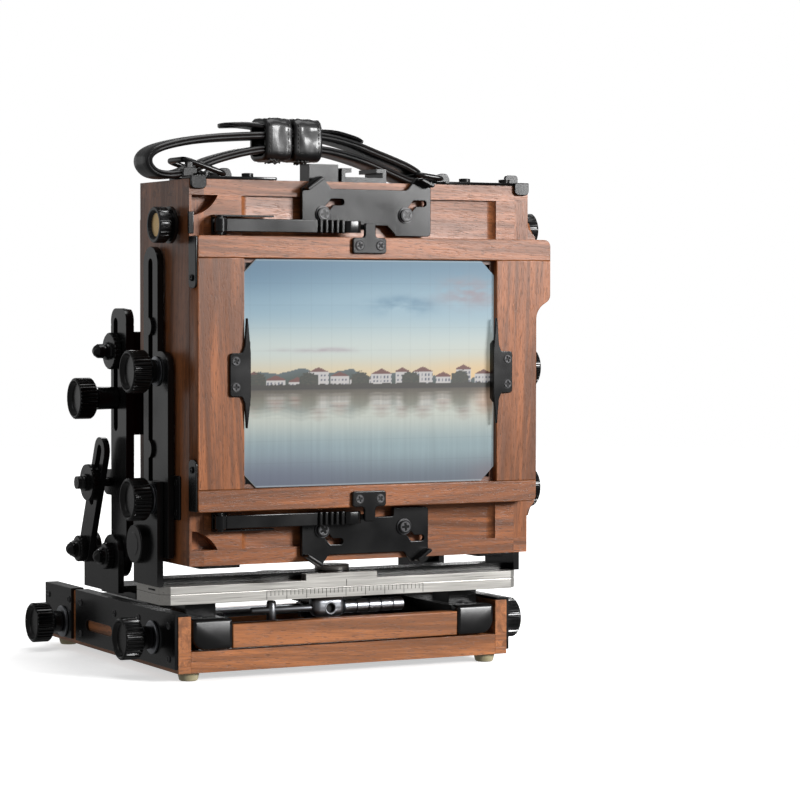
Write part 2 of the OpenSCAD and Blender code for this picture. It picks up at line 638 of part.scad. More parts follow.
// ---- front tray and standard ----
module front_tray() color(black_metal) {
  both_sides() {
    span([front_rail[0], front_rail_y[0], front_rail_z[0]],
         [front_rail[1], front_rail_y[1], front_rail_z[1]]);
    rack(front_rack_x, front_shaft_y, -12, 78, front_rack_z);
    span([front_rail[0] + 2, -8, front_rail_z[1] - eps], [front_rail[1] - 2, 36, bed_z[0] + eps]);
  }
  span([-78, -8, bed_z[0]], [78, 36, bed_z[1]]);
  rod_z(5, bed_z[1] - eps, front_swing_z[1] + 0.1, 0, front_swing_y);
  rod_z(8, front_swing_z[1] + 0.1 - eps, front_swing_z[1] + 2.4, 0, front_swing_y);
}
module front_swing_plate() color(black_metal) difference() {
  union() {
    span([-front_ear_x[1], -3, front_swing_z[0]], [front_ear_x[1], 19, front_swing_z[1]]);
    both_sides() {
      extrude_x(-front_ear_x[1], -front_ear_x[0]) {
        translate([-7, front_swing_z[0]]) square([44, 20]);
        translate([front_tilt_y, front_tilt_z]) circle(10);
        translate(strut_pivot) circle(8);
      }
      rod_x(4, -front_ear_x[0] - eps, -upright_x[0], front_tilt_y, front_tilt_z);
      rod_x(3, -strut_x[1] - 0.2, -front_ear_x[1] + eps, strut_pivot[0], strut_pivot[1]);
      rod_x(6, -strut_x[1] - 3, -strut_x[1] - 0.1, strut_pivot[0], strut_pivot[1]);
    }
  }
  rod_z(5 + run_gap, 29, 36, 0, front_swing_y);
}
module upright_outline() {
  difference() {
    union() {
      translate([-9, front_tilt_z]) square([19, 155 - front_tilt_z]);
      translate([-3, 155]) square([7, 8]);
      translate([-3, 157]) circle(6);
      translate([4, 157]) circle(6);
      translate([front_tilt_y, front_tilt_z]) circle(10);
      translate([strut_stud[0], strut_stud[1]]) circle(6);
      translate([8, strut_stud[1] - 6]) square([7, 12]);
    }
    translate([front_tilt_y, front_tilt_z]) circle(4 + run_gap);
    slot_2d([rise_y, 108], [rise_y, 156], 5.2);
  }
}
module front_uprights() color(black_metal) {
  both_sides() {
    extrude_x(-upright_x[1], -upright_x[0]) upright_outline();
    rod_x(2.2, -strut_x[1] - 0.2, -upright_x[1] + eps, strut_stud[0], strut_stud[1]);
    rod_x(8.5, -strut_x[1] - 4, -strut_x[1] - 0.2 + eps, strut_stud[0], strut_stud[1]);
    rod_x(3, -strut_x[1] - 9, -strut_x[1] - 3.9, strut_stud[0], strut_stud[1]);
  }
  span([-upright_x[0] - eps, -6, 52], [upright_x[0] + eps, 5, 57]);
}
module front_struts() color(black_metal) both_sides()
  extrude_x(-strut_x[1], -strut_x[0]) {
    d = unit(strut_top - strut_pivot);
    difference() {
      slot_2d(strut_pivot, strut_top, 13);
      slot_2d(strut_pivot + 26 * d, strut_pivot + 52 * d, 5.2);
      translate(strut_pivot) circle(3 + run_gap);
    }
  }
module front_rise_knob_left() color(black_metal) difference() {
  knob_left(-104, -upright_x[1] - 0.1, rise_y, rise_z);
  rod_x(stud_r + run_gap, -98, -upright_x[1] + 1, rise_y, rise_z);
}
module front_rise_knob_right() mirror([1, 0, 0]) front_rise_knob_left();
module front_frame() {
  z0 = axis_z - lens_frame_h;
  z1 = axis_z + lens_frame_h;
  color(walnut) difference() {
    span([-lens_frame_h, -8, z0], [lens_frame_h, 6, z1]);
    span([-44, -9, axis_z - 44], [44, 7, axis_z + 44]);
  }
  color(black_metal) both_sides() {
    span([-upright_x[0] + 0.2, -7, 104], [-lens_frame_h, 8, 152]);
    rod_x(stud_r, -97, -upright_x[0] + 0.3, rise_y, rise_z);
    rod_x(2.3, -upright_x[1] - 1, -upright_x[0] + 0.3, rise_y, guide_z);
    rod_x(8.5, -upright_x[1] - 3.6, -upright_x[1] - 0.1, rise_y, guide_z);
    rod_x(3, -upright_x[1] - 11, -upright_x[1] - 3.6 + eps, rise_y, guide_z);
  }
  // lip that holds the lower edge of the lens board
  color(black_metal) span([-40, 6 - eps, axis_z - board_h - 6], [40, lens_y, axis_z - board_h - 0.1]);
  color(black_metal) span([-40, lens_y + 0.1, axis_z - board_h - 6],
    [40, lens_y + 2, axis_z - board_h + 3]);
  color(black_metal) span([-40, 6, axis_z - board_h - 6], [40, lens_y + 1, axis_z - board_h - 3]);
}

// ---- lens ----
module lens_board() color(black_metal) difference() {
  span([-board_h, 6, axis_z - board_h], [board_h, lens_y, axis_z + board_h]);
  rod_y(21, 5, lens_y + 1, 0, axis_z);
}
module board_latch() color(black_metal) {
  z = axis_z + board_h;
  span([-30, 6.1, z + 5.5], [30, lens_y + 2, z + 12]);
  span([-30, lens_y + 0.1, z - 2], [30, lens_y + 2, z + 6]);
}
module shutter_housing() color(black_metal) difference() {
  union() {
    rod_y(shutter_r, lens_y, lens_y + 16, 0, axis_z);
    rod_y(shutter_r - 7, lens_y + 15, lens_y + 20, 0, axis_z);
    rod_y(20.9, -2, lens_y + 1, 0, axis_z);
  }
  rod_y(17, -3, lens_y + 21, 0, axis_z);
}
module lens_cells() color(black_metal) {
  difference() {
    union() {
      rod_y(17, lens_y + 6, lens_y + 21, 0, axis_z);
      rod_y(22, lens_y + 20.1, lens_y + 32, 0, axis_z);
    }
    rod_y(14, lens_y + 5, lens_y + 24, 0, axis_z);
    rod_y(19, lens_y + 23, lens_y + 33, 0, axis_z);
  }
  difference() {
    union() {
      rod_y(17, -6, lens_y, 0, axis_z);
      rod_y(22, -14, -2.1, 0, axis_z);
    }
    rod_y(14, -7, lens_y + 1, 0, axis_z);
    rod_y(18, -15, -9, 0, axis_z);
  }
}
module lens_glass() color(glass_blue) {
  rod_y(19, lens_y + 24, lens_y + 27, 0, axis_z);
  rod_y(18, -12, -9, 0, axis_z);
}
module ring_y(r_out, r_in, y0, y1) difference() {
  rod_y(r_out, y0, y1, 0, axis_z);
  rod_y(r_in, y0 - 1, y1 + 1, 0, axis_z);
}
module speed_ring() color(black_metal)
  ring_y(shutter_r, shutter_r - 7 + 0.1, lens_y + 16.2, lens_y + 19.8);
module lever(angle, r0, r1, w, y0, y1)
  rotate_about_lens(angle) span([r0, y0, axis_z - w / 2], [r1, y1, axis_z + w / 2]);
module rotate_about_lens(angle)
  translate([0, 0, axis_z]) rotate([0, -angle, 0]) translate([0, 0, -axis_z]) children();
module aperture_lever() color(silver) {
  ring_y(shutter_r + 1.6, shutter_r + 0.1, lens_y + 2, lens_y + 4);
  lever(-90, shutter_r + 1, shutter_r + 7, 4, lens_y + 2, lens_y + 4);
}
module cocking_lever() color(silver) {
  ring_y(shutter_r + 1.6, shutter_r + 0.1, lens_y + 6, lens_y + 8);
  lever(35, shutter_r + 1, shutter_r + 9, 5, lens_y + 6, lens_y + 8);
}
module release_lever() color(silver) {
  ring_y(shutter_r + 1.6, shutter_r + 0.1, lens_y + 10, lens_y + 12);
  lever(150, shutter_r + 1, shutter_r + 9, 5, lens_y + 10, lens_y + 12);
}

base_walls();
base_floor();
tripod_bush();
rubber_feet();
side_plates();
guide_rails();
bellows();
rear_tray();
tray_bar();
tray_caps();
scale_plate();
shift_lock_block();
rear_focus_shaft();
rear_focus_knobs();
front_focus_shaft();
front_focus_knobs();
shift_lock_barrel();
shift_plate();
swing_plate();
rear_arms();
rear_tilt_knob_left();
rear_tilt_knob_right();
rear_rise_knob_left();
rear_rise_knob_right();
rear_box();
rear_face();
box_fittings();
level_vial();
strap_anchors();
handle_strap();
handle_sleeve();
back_lock_left();
back_lock_right();
top_latch_left();
top_latch_right();
film_lock_top();
film_lock_bottom();
spring_arm_top();
spring_arm_bottom();
screen_frame();
ground_glass();
fresnel_sheet();
screen_clips();
screen_lugs();
front_tray();
front_swing_plate();
front_uprights();
front_struts();
front_rise_knob_left();
front_rise_knob_right();
front_frame();
lens_board();
board_latch();
shutter_housing();
lens_cells();
lens_glass();
speed_ring();
aperture_lever();
cocking_lever();
release_lever();
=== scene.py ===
"""A walnut and black-metal large format field camera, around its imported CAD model."""

import json
import math

import bmesh
import bpy
from mathutils import Matrix, Vector, noise


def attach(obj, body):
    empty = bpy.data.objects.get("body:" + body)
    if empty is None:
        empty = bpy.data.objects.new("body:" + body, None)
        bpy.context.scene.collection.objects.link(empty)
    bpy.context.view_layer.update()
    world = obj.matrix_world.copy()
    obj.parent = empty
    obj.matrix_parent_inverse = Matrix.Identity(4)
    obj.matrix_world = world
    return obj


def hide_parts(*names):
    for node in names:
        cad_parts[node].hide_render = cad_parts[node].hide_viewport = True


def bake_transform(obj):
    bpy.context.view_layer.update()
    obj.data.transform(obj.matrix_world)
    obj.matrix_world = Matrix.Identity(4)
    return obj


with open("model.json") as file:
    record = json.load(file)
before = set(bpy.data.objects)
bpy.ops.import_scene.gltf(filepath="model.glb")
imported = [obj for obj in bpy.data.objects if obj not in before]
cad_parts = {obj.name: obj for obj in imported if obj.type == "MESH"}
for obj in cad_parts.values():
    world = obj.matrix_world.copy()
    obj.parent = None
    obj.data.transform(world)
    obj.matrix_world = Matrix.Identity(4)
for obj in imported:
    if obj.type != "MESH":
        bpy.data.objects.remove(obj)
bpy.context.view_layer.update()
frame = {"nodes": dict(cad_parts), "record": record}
noise.seed_set(7)         # noise_vector takes its offsets from this seed

MM = 0.001
AXIS_Z = 134.5           # height of the lens axis, in millimetres


# ---- camera and light
CAMERA_PLACE = (-0.5653, -1.2152, 0.1653)
CAMERA_AZIMUTH = 27.42
CAMERA_DOWN = 1.98
CAMERA_ROLL = 0.09
CAMERA_LENS = 125.2


def make_camera():
    data = bpy.data.cameras.new("camera")
    data.lens = CAMERA_LENS
    data.sensor_width = 36
    data.clip_start = 0.05
    camera = bpy.data.objects.new("camera", data)
    bpy.context.scene.collection.objects.link(camera)
    a, p = math.radians(CAMERA_AZIMUTH), math.radians(CAMERA_DOWN)
    look = Vector((math.sin(a) * math.cos(p), math.cos(a) * math.cos(p), -math.sin(p)))
    turn = look.to_track_quat("-Z", "Y") @ Matrix.Rotation(math.radians(CAMERA_ROLL), 3, "Z").to_quaternion()
    camera.location = CAMERA_PLACE
    camera.rotation_mode = "QUATERNION"
    camera.rotation_quaternion = turn
    bpy.context.scene.camera = camera


def area_light(name, place, target, size, power):
    data = bpy.data.lights.new(name, "AREA")
    data.shape = "RECTANGLE"
    data.size, data.size_y = size
    data.energy = power
    light = bpy.data.objects.new(name, data)
    bpy.context.scene.collection.objects.link(light)
    light.location = place
    light.rotation_mode = "QUATERNION"
    light.rotation_quaternion = (Vector(target) - Vector(place)).to_track_quat("-Z", "Y")


def make_stage():
    """A white room: the camera sees it bright, and it lights the object more softly."""
    world = bpy.data.worlds.new("studio")
    bpy.context.scene.world = world
    world.use_nodes = True
    tree = world.node_tree
    back = tree.nodes["Background"]
    back.inputs["Color"].default_value = (1, 1, 1, 1)
    seen = tree.nodes.new("ShaderNodeLightPath").outputs["Is Camera Ray"]
    strength = tree.nodes.new("ShaderNodeMapRange")
    strength.inputs["To Min"].default_value = 0.2
    strength.inputs["To Max"].default_value = 1.0
    tree.links.new(seen, strength.inputs["Value"])
    tree.links.new(strength.outputs["Result"], back.inputs["Strength"])
    bpy.context.scene.view_settings.view_transform = "Standard"
    floor = plane_mesh("floor", 6.0, -4 * MM)
    floor.data.materials.append(floor_paint())
    floor.visible_glossy = False
    floor.visible_diffuse = False
    area_light("key", (0.93, -1.45, 0.57), (0, -0.05, 0.15), (0.6, 0.4), 40)
    area_light("left", (-1.7, 0.1, 0.9), (-0.1, 0, 0.1), (0.7, 1.2), 1.6)
    area_light("rim", (-0.8, 1.7, 0.35), (0, 0, 0.12), (1.6, 0.8), 1.4)
    area_light("back", (1.2, 1.5, 0.9), (0, 0, 0.1), (1.2, 0.9), 16)
    area_light("top", (0.2, -0.3, 1.6), (0, 0, 0.1), (1.0, 1.0), 12)


def plane_mesh(name, half, z):
    mesh = bpy.data.meshes.new(name)
    mesh.from_pydata([(-half, -half, z), (half, -half, z), (half, half, z), (-half, half, z)], [],
        [(0, 1, 2, 3)])
    obj = bpy.data.objects.new(name, mesh)
    bpy.context.scene.collection.objects.link(obj)
    return obj


# ---- materials
class Shader:
    """A material's node tree, written as nested calls."""

    def __init__(self, name):
        self.material = bpy.data.materials.new(name)
        self.material.use_nodes = True
        self.tree = self.material.node_tree
        self.tree.nodes.clear()

    def node(self, kind, inputs=None, **settings):
        made = self.tree.nodes.new("ShaderNode" + kind)
        for key, value in settings.items():
            setattr(made, key, value)
        for key, value in (inputs or {}).items():
            socket = made.inputs[key]
            if isinstance(value, bpy.types.NodeSocket):
                self.tree.links.new(value, socket)
            elif hasattr(value, "__len__") and len(value) == 3 and socket.type == "RGBA":
                socket.default_value = (*value, 1)
            else:
                socket.default_value = value
        return made

    def place(self, scale, attribute=None):
        """The surface point in the piece's own frame, or its attribute, stretched by scale."""
        if attribute:
            point = self.node("Attribute", attribute_name=attribute).outputs["Vector"]
        else:
            point = self.node("TexCoord").outputs["Object"]
        if not hasattr(scale, "__len__"):
            scale = (scale, scale, scale)
        return self.node("VectorMath", {0: point, 1: scale}, operation="MULTIPLY").outputs[0]

    def noise(self, vector, scale=1.0, detail=4.0, rough=0.5, distort=0.0):
        return self.node("TexNoise", {"Vector": vector, "Scale": scale, "Detail": detail,
            "Roughness": rough, "Distortion": distort}).outputs["Fac"]

    def ramp(self, value, stops):
        made = self.node("ValToRGB", {"Fac": value})
        elements = made.color_ramp.elements
        while len(elements) < len(stops):
            elements.new(0.5)
        for element, (at, colour) in zip(elements, stops):
            element.position = at
            if not hasattr(colour, "__len__"):
                colour = (colour, colour, colour)
            element.color = (*colour, 1)
        return made.outputs["Color"]

    def mix(self, factor, a, b, blend="MIX"):
        made = self.node("Mix", data_type="RGBA", blend_type=blend)
        for index, value in ((0, factor), (6, a), (7, b)):
            socket = made.inputs[index]
            if isinstance(value, bpy.types.NodeSocket):
                self.tree.links.new(value, socket)
            elif index == 0:
                socket.default_value = value
            else:
                socket.default_value = (*value, 1)
        return made.outputs[2]

    def math(self, operation, a, b=0.0):
        return self.node("Math", {0: a, 1: b}, operation=operation).outputs[0]

    def bump(self, height, strength, distance):
        inputs = {"Height": height, "Strength": strength, "Distance": distance}
        return self.node("Bump", inputs).outputs["Normal"]

    def finish(self, **inputs):
        """Ends the tree in a Principled shader."""
        named = {key.replace("_", " "): value for key, value in inputs.items()}
        shader = self.node("BsdfPrincipled", named)
        out = self.node("OutputMaterial")
        self.tree.links.new(shader.outputs["BSDF"], out.inputs["Surface"])
        return self.material


def floor_paint():
    """A pale floor that fades into the room, so that no horizon shows."""
    s = Shader("floor_paint")
    grain = s.noise(s.place(3), detail=2)
    colour = s.ramp(grain, [(0.3, 0.88), (0.7, 0.92)])
    near = s.node("TexGradient", {"Vector": s.place(0.45)}, gradient_type="SPHERICAL").outputs["Fac"]
    solid = s.ramp(near, [(0.1, 0.0), (0.6, 1.0)])
    return s.finish(Base_Color=colour, Roughness=0.7, Emission_Color=(1, 1, 1, 1),
        Emission_Strength=0.56, Alpha=solid)


def walnut(name, tone):
    """Oiled walnut. The grain runs along the first axis of the attribute "grain"."""
    s = Shader(name)
    board = s.noise(s.place((2, 9, 9), "grain"), detail=1)
    bands = s.noise(s.place((3.6, 105, 105), "grain"), detail=3, rough=0.55, distort=1.3)
    figure = s.noise(s.place((7, 330, 330), "grain"), detail=4, rough=0.6, distort=0.5)
    fibre = s.noise(s.place((34, 2600, 2600), "grain"), detail=3, rough=0.65)
    pores = s.noise(s.place((210, 3400, 3400), "grain"), detail=1)
    dark = tuple(c * 0.34 for c in tone)
    light = tuple(min(1, c * 1.45) for c in tone)
    colour = s.ramp(board, [(0.35, tone), (0.65, tuple(c * 0.9 for c in tone))])
    colour = s.mix(s.ramp(bands, [(0.45, 0.0), (0.6, 0.75)]), colour, light)
    colour = s.mix(s.ramp(bands, [(0.37, 0.62), (0.47, 0.0)]), colour, dark)
    colour = s.mix(s.ramp(figure, [(0.4, 0.65), (0.56, 0.0)]), colour, dark)
    colour = s.mix(s.ramp(fibre, [(0.36, 0.45), (0.6, 0.0)]), colour, tuple(c * 0.62 for c in tone))
    pore = s.ramp(pores, [(0.35, 1.0), (0.4, 0.0)])
    colour = s.mix(s.math("MULTIPLY", pore, 0.75), colour, tuple(c * 0.3 for c in tone))
    height = s.math("SUBTRACT", fibre, s.math("MULTIPLY", pore, 0.8))
    rough = s.ramp(figure, [(0.3, 0.38), (0.7, 0.28)])
    return s.finish(Base_Color=colour, Roughness=rough, Specular_IOR_Level=0.36,
        Normal=s.bump(height, 0.2, 0.0002))


def black_metal(name="black_metal", base=0.005, rough=0.21):
    s = Shader(name)
    speck = s.noise(s.place(2600), detail=2)
    cloud = s.noise(s.place(45), detail=3)
    worn = s.ramp(cloud, [(0.35, (base * 0.8, base * 0.8, base * 0.85)), (0.7, (base * 1.5, base * 1.45,
        base * 1.5))])
    roughness = s.ramp(cloud, [(0.3, rough - 0.04), (0.7, rough + 0.06)])
    return s.finish(Base_Color=worn, Roughness=roughness, Specular_IOR_Level=0.36, Normal=s.bump(speck,
        0.1, 0.00005))


def brushed(name, colour, rough, stretch, metal=1.0):
    s = Shader(name)
    lines = s.noise(s.place(stretch), detail=3)
    cloud = s.noise(s.place(60), detail=3)
    shade = s.ramp(lines, [(0.3, tuple(c * 0.82 for c in colour)), (0.7, colour)])
    shade = s.mix(s.ramp(cloud, [(0.4, 0.0), (0.8, 0.35)]), shade, tuple(c * 0.7 for c in colour))
    roughness = s.ramp(lines, [(0.3, rough - 0.05), (0.7, rough + 0.08)])
    return s.finish(Base_Color=shade, Metallic=metal, Roughness=roughness, Normal=s.bump(lines,
        0.08, 0.00005))


def rubber():
    s = Shader("rubber")
    cloud = s.noise(s.place(300), detail=3)
    colour = s.ramp(cloud, [(0.3, (0.36, 0.31, 0.18)), (0.7, (0.46, 0.41, 0.27))])
    return s.finish(Base_Color=colour, Roughness=0.45, Subsurface_Weight=0.2, Subsurface_Radius=(0.002,
        0.0015, 0.001), Normal=s.bump(cloud, 0.2, 0.0001))


def leather():
    s = Shader("leather")
    cells = s.node("TexVoronoi", {"Vector": s.place(1500), "Scale": 1.0},
        feature="DISTANCE_TO_EDGE").outputs["Distance"]
    creases = s.noise(s.place((90, 200, 120)), detail=4, rough=0.55, distort=0.3)
    grain = s.ramp(cells, [(0.0, 0.0), (0.18, 1.0)])
    height = s.math("ADD", s.math("MULTIPLY", grain, 0.25), creases)
    colour = s.ramp(creases, [(0.35, (0.003, 0.003, 0.0035)), (0.7, (0.011, 0.0105, 0.011))])
    rough = s.ramp(creases, [(0.3, 0.46), (0.7, 0.34)])
    return s.finish(Base_Color=colour, Roughness=rough, Specular_IOR_Level=0.34, Coat_Weight=0.3,
        Coat_Roughness=0.12, Normal=s.bump(height, 0.18, 0.0002))


def thread():
    s = Shader("thread")
    twist = s.noise(s.place(1500), detail=2)
    colour = s.ramp(twist, [(0.3, 0.012), (0.7, (0.05, 0.048, 0.046))])
    return s.finish(Base_Color=colour, Roughness=0.7, Normal=s.bump(twist, 0.4, 0.0001))


def bellows_cloth():
    s = Shader("bellows_cloth")
    weave = s.node("TexWave", {"Vector": s.place(1), "Scale": 900.0, "Distortion": 1.0},
        bands_direction="DIAGONAL").outputs["Fac"]
    cloud = s.noise(s.place(70), detail=4)
    colour = s.ramp(cloud, [(0.3, (0.2, 0.006, 0.012)), (0.7, (0.36, 0.018, 0.03))])
    return s.finish(Base_Color=colour, Roughness=0.55, Sheen_Weight=0.25, Normal=s.bump(weave,
        0.25, 0.0001))


def clear_sheet():
    s = Shader("clear_sheet")
    rings = s.node("TexWave", {"Vector": s.place(1), "Scale": 1.0}, wave_type="RINGS",
        rings_direction="Y").outputs["Fac"]
    tint = s.ramp(rings, [(0.0, (0.9, 0.95, 0.96)), (1.0, (0.96, 0.98, 0.99))])
    clear = s.node("BsdfTransparent", {"Color": tint}).outputs[0]
    gloss = s.node("BsdfGlossy", {"Color": (1, 1, 1), "Roughness": 0.06}).outputs[0]
    amount = s.node("Fresnel", {"IOR": 1.38}).outputs[0]
    both = s.node("MixShader", {0: amount, 1: clear, 2: gloss}).outputs[0]
    s.node("OutputMaterial", {"Surface": both})
    return s.material


def lens_glass():
    s = Shader("lens_coating")
    depth = s.noise(s.place(60), detail=1)
    colour = s.ramp(depth, [(0.2, (0.012, 0.014, 0.03)), (0.8, (0.03, 0.02, 0.05))])
    return s.finish(Base_Color=colour, Roughness=0.04, Specular_IOR_Level=0.9, Coat_Weight=1.0,
        Coat_Roughness=0.02, Coat_Tint=(0.7, 0.75, 1.0, 1))


def vial_glass():
    s = Shader("vial_glass")
    cloud = s.noise(s.place(400), detail=2)
    colour = s.ramp(cloud, [(0.3, (0.5, 0.75, 0.08)), (0.7, (0.6, 0.85, 0.12))])
    return s.finish(Base_Color=colour, Roughness=0.08, Transmission_Weight=0.4)


def picture_paint():
    """The view on the ground glass, from the colours that the mesh carries, made to glow: painted light, as
    no lamp shines through the sheet.
    """
    s = Shader("ground_glass")
    paint = s.node("Attribute", attribute_name="paint").outputs["Color"]
    frost = s.noise(s.place(3500), detail=1)
    soft = s.mix(s.math("MULTIPLY", frost, 0.05), paint, (0.6, 0.66, 0.7))
    shown = s.mix(0.6, soft, (0.0, 0.0, 0.0))
    # The emission is painted light that makes the sheet glow; the base colour is dimmed towards black to make
    # room for it.
    return s.finish(Base_Color=shown, Roughness=0.35, Specular_IOR_Level=0.3, Emission_Color=soft,
        Emission_Strength=0.38)


MATERIALS = {
    "walnut": walnut("walnut", (0.272, 0.094, 0.034)),
    "walnut_dark": walnut("walnut_dark", (0.15, 0.07, 0.045)),
    # A lighter copy of the walnut for the base: painted light, standing in for the key lamp lighting the base
    # more.
    "walnut_painted_light": walnut("walnut_painted_light", (0.39, 0.146, 0.055)),
    "black_metal": black_metal(),
    "nickel": brushed("nickel", (0.5, 0.485, 0.455), 0.32, (40, 1500, 1500), 0.65),
    "chrome": brushed("chrome", (0.5, 0.49, 0.48), 0.12, (900, 60, 60)),
    "steel": brushed("steel", (0.3, 0.31, 0.33), 0.34, (60, 900, 900)),
    "brass": brushed("brass", (0.62, 0.43, 0.19), 0.3, (500, 500, 500)),
    "rubber": rubber(),
    "leather": leather(),
    "thread": thread(),
    "bellows_cloth": bellows_cloth(),
    "clear_sheet": clear_sheet(),
    "lens_glass": lens_glass(),
    "vial": vial_glass(),
    "ground_glass": picture_paint(),
    "black_screw": black_metal("black_screw", 0.07, 0.3),
    # Near-black and matte: the engraved marks, and also painted shade round screw heads and in the pin hole.
    "mark": black_metal("engraved_mark_and_painted_shade", 0.004, 0.6),
}


def add_piece(name, mesh, material, body, *nodes, slot=None, bevel=0.0):
    """Puts a mesh made in millimetres on a body, in place of the CAD nodes."""
    mesh.name = name
    mesh.transform(Matrix.Scale(MM, 4))
    obj = bpy.data.objects.new(name, mesh)
    bpy.context.scene.collection.objects.link(obj)
    mesh.materials.clear()
    mesh.materials.append(MATERIALS[material])
    if bevel:
        soften(obj, bevel, 35)
    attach(obj, body)
    if nodes:
        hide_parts(*nodes)
    return obj


def soften(obj, width_mm, angle):
    bevel = obj.modifiers.new("edges", "BEVEL")
    bevel.width = width_mm * MM
    bevel.segments = 2
    bevel.limit_method = "ANGLE"
    bevel.angle_limit = math.radians(angle)
    bevel.use_clamp_overlap = True
    bevel.harden_normals = False


def from_bmesh(bm):
    mesh = bpy.data.meshes.new("made")
    bm.to_mesh(mesh)
    bm.free()
    return mesh


def joined(meshes):
    bm = bmesh.new()
    for mesh in meshes:
        bm.from_mesh(mesh)
        bpy.data.meshes.remove(mesh)
    return from_bmesh(bm)


def arc(u, v, r, start, sweep, n):
    """Points of an arc about (u, v), from the angle start over the angle sweep."""
    angles = [start + sweep * k / n for k in range(n + 1)]
    return [(u + r * math.cos(t), v + r * math.sin(t)) for t in angles]


def fillet(points, n=6):
    """An outline from (u, v, radius) corners, with each corner turned into an arc."""
    made = []
    count = len(points)
    for i, (u, v, r) in enumerate(points):
        here = Vector((u, v))
        if r <= 0:
            made.append((u, v))
            continue
        before = (Vector(points[i - 1][:2]) - here).normalized()
        after = (Vector(points[(i + 1) % count][:2]) - here).normalized()
        half = before.angle(after) / 2
        reach = r / math.tan(half)
        centre = here + (before + after).normalized() * (r / math.sin(half))
        a, b = here + before * reach - centre, here + after * reach - centre
        start = math.atan2(a.y, a.x)
        sweep = math.atan2(b.y, b.x) - start
        sweep = (sweep + math.pi) % (2 * math.pi) - math.pi
        made += arc(centre.x, centre.y, r, start, sweep, n)
    return made


def circle(u, v, r, n):
    return arc(u, v, r, 0, 2 * math.pi, n)[:-1]


def slot_outline(a, b, width):
    a, b = Vector(a), Vector(b)
    turn = math.atan2(b.y - a.y, b.x - a.x)
    far = arc(b.x, b.y, width / 2, turn - math.pi / 2, math.pi, 8)
    return far + arc(a.x, a.y, width / 2, turn + math.pi / 2, math.pi, 8)


TURNS = {
    "X": Matrix(((0, 0, 1, 0), (1, 0, 0, 0), (0, 1, 0, 0), (0, 0, 0, 1))),
    "Y": Matrix(((1, 0, 0, 0), (0, 0, 1, 0), (0, 1, 0, 0), (0, 0, 0, 1))),
    "Z": Matrix.Identity(4),
}


def plate(outlines, axis, low, high, round_edge=0.3):
    """A flat plate: the first outline with the others as holes, in the plane across axis.
    The plane's axes are (Y, Z) for X, (X, Z) for Y and (X, Y) for Z."""
    data = bpy.data.curves.new("outline", "CURVE")
    data.dimensions = "2D"
    data.fill_mode = "BOTH"
    thickness = high - low
    edge = min(round_edge, thickness * 0.45)
    data.extrude = thickness / 2 - edge
    data.bevel_depth = edge
    data.bevel_resolution = 2 if edge > 0.25 else 1
    data.offset = -edge
    for outline in outlines:
        spline = data.splines.new("POLY")
        spline.points.add(len(outline) - 1)
        for point, (u, v) in zip(spline.points, outline):
            point.co = (u, v, 0, 1)
        spline.use_cyclic_u = True
    obj = bpy.data.objects.new("outline", data)
    mesh = bpy.data.meshes.new_from_object(obj)
    bpy.data.objects.remove(obj)
    bpy.data.curves.remove(data)
    mesh.transform(TURNS[axis] @ Matrix.Translation((0, 0, (low + high) / 2)))
    bm = bmesh.new()
    bm.from_mesh(mesh)
    bpy.data.meshes.remove(mesh)
    bmesh.ops.remove_doubles(bm, verts=bm.verts, dist=0.001)
    bmesh.ops.recalc_face_normals(bm, faces=bm.faces)
    return from_bmesh(bm)


def box_mesh(low, high, edge=0.3):
    (x0, y0, z0), (x1, y1, z1) = low, high
    outline = [(x0, z0), (x1, z0), (x1, z1), (x0, z1)]
    return plate([outline], "Y", y0, y1, edge)


def skin(rings, wrap, capped):
    """Joins rings of points: the last to the first with wrap, and with faces on the ends if capped."""
    bm = bmesh.new()
    made = [[bm.verts.new(point) for point in ring] for ring in rings]
    n = len(made[0])
    for a, b in zip(made, made[1:] + made[:wrap]):
        for k in range(n):
            bm.faces.new((a[k], a[(k + 1) % n], b[(k + 1) % n], b[k]))
    if capped:
        bm.faces.new(made[0])
        bm.faces.new(made[-1])
    return bm


def loft(rings, wrap=False):
    bm = skin(rings, wrap, not wrap)
    bmesh.ops.recalc_face_normals(bm, faces=bm.faces)
    return from_bmesh(bm)


LATHE_TURNS = {"X": (math.pi / 2, "Y"), "-X": (-math.pi / 2, "Y"), "Y": (-math.pi / 2, "X"),
    "Z": (0, "Z")}


def lathe(profile, axis, centre, n=48, radius_at=None):
    """Turns a profile of (along the axis, radius) points. centre is the point at along 0."""
    rings = []
    for along, radius in profile:
        ring = []
        for k in range(n):
            t = 2 * math.pi * k / n
            r = radius_at(radius, k, along) if radius_at else radius
            ring.append((r * math.cos(t), r * math.sin(t), along))
        rings.append(ring)
    bm = skin(rings, False, profile[0] != profile[-1])
    bmesh.ops.remove_doubles(bm, verts=bm.verts, dist=1e-4)
    bmesh.ops.recalc_face_normals(bm, faces=bm.faces)
    turn = Matrix.Rotation(LATHE_TURNS[axis][0], 4, LATHE_TURNS[axis][1])
    bmesh.ops.transform(bm, matrix=Matrix.Translation(centre) @ turn, verts=bm.verts)
    return from_bmesh(bm)


def mirrored(mesh, across_x=True):
    """A copy of the mesh on the other side: across X = 0, or across the lens axis' height."""
    copy = mesh.copy()
    if across_x:
        matrix = Matrix.Scale(-1, 4, (1, 0, 0))
    else:
        matrix = Matrix.Translation((0, 0, 2 * AXIS_Z)) @ Matrix.Scale(-1, 4, (0, 0, 1))
    copy.transform(matrix)
    copy.flip_normals()
    return copy


# ---- carried-over CAD nodes
SLOTS = {row["node"]: row["material_slot"] for row in frame["record"]["subparts"]}


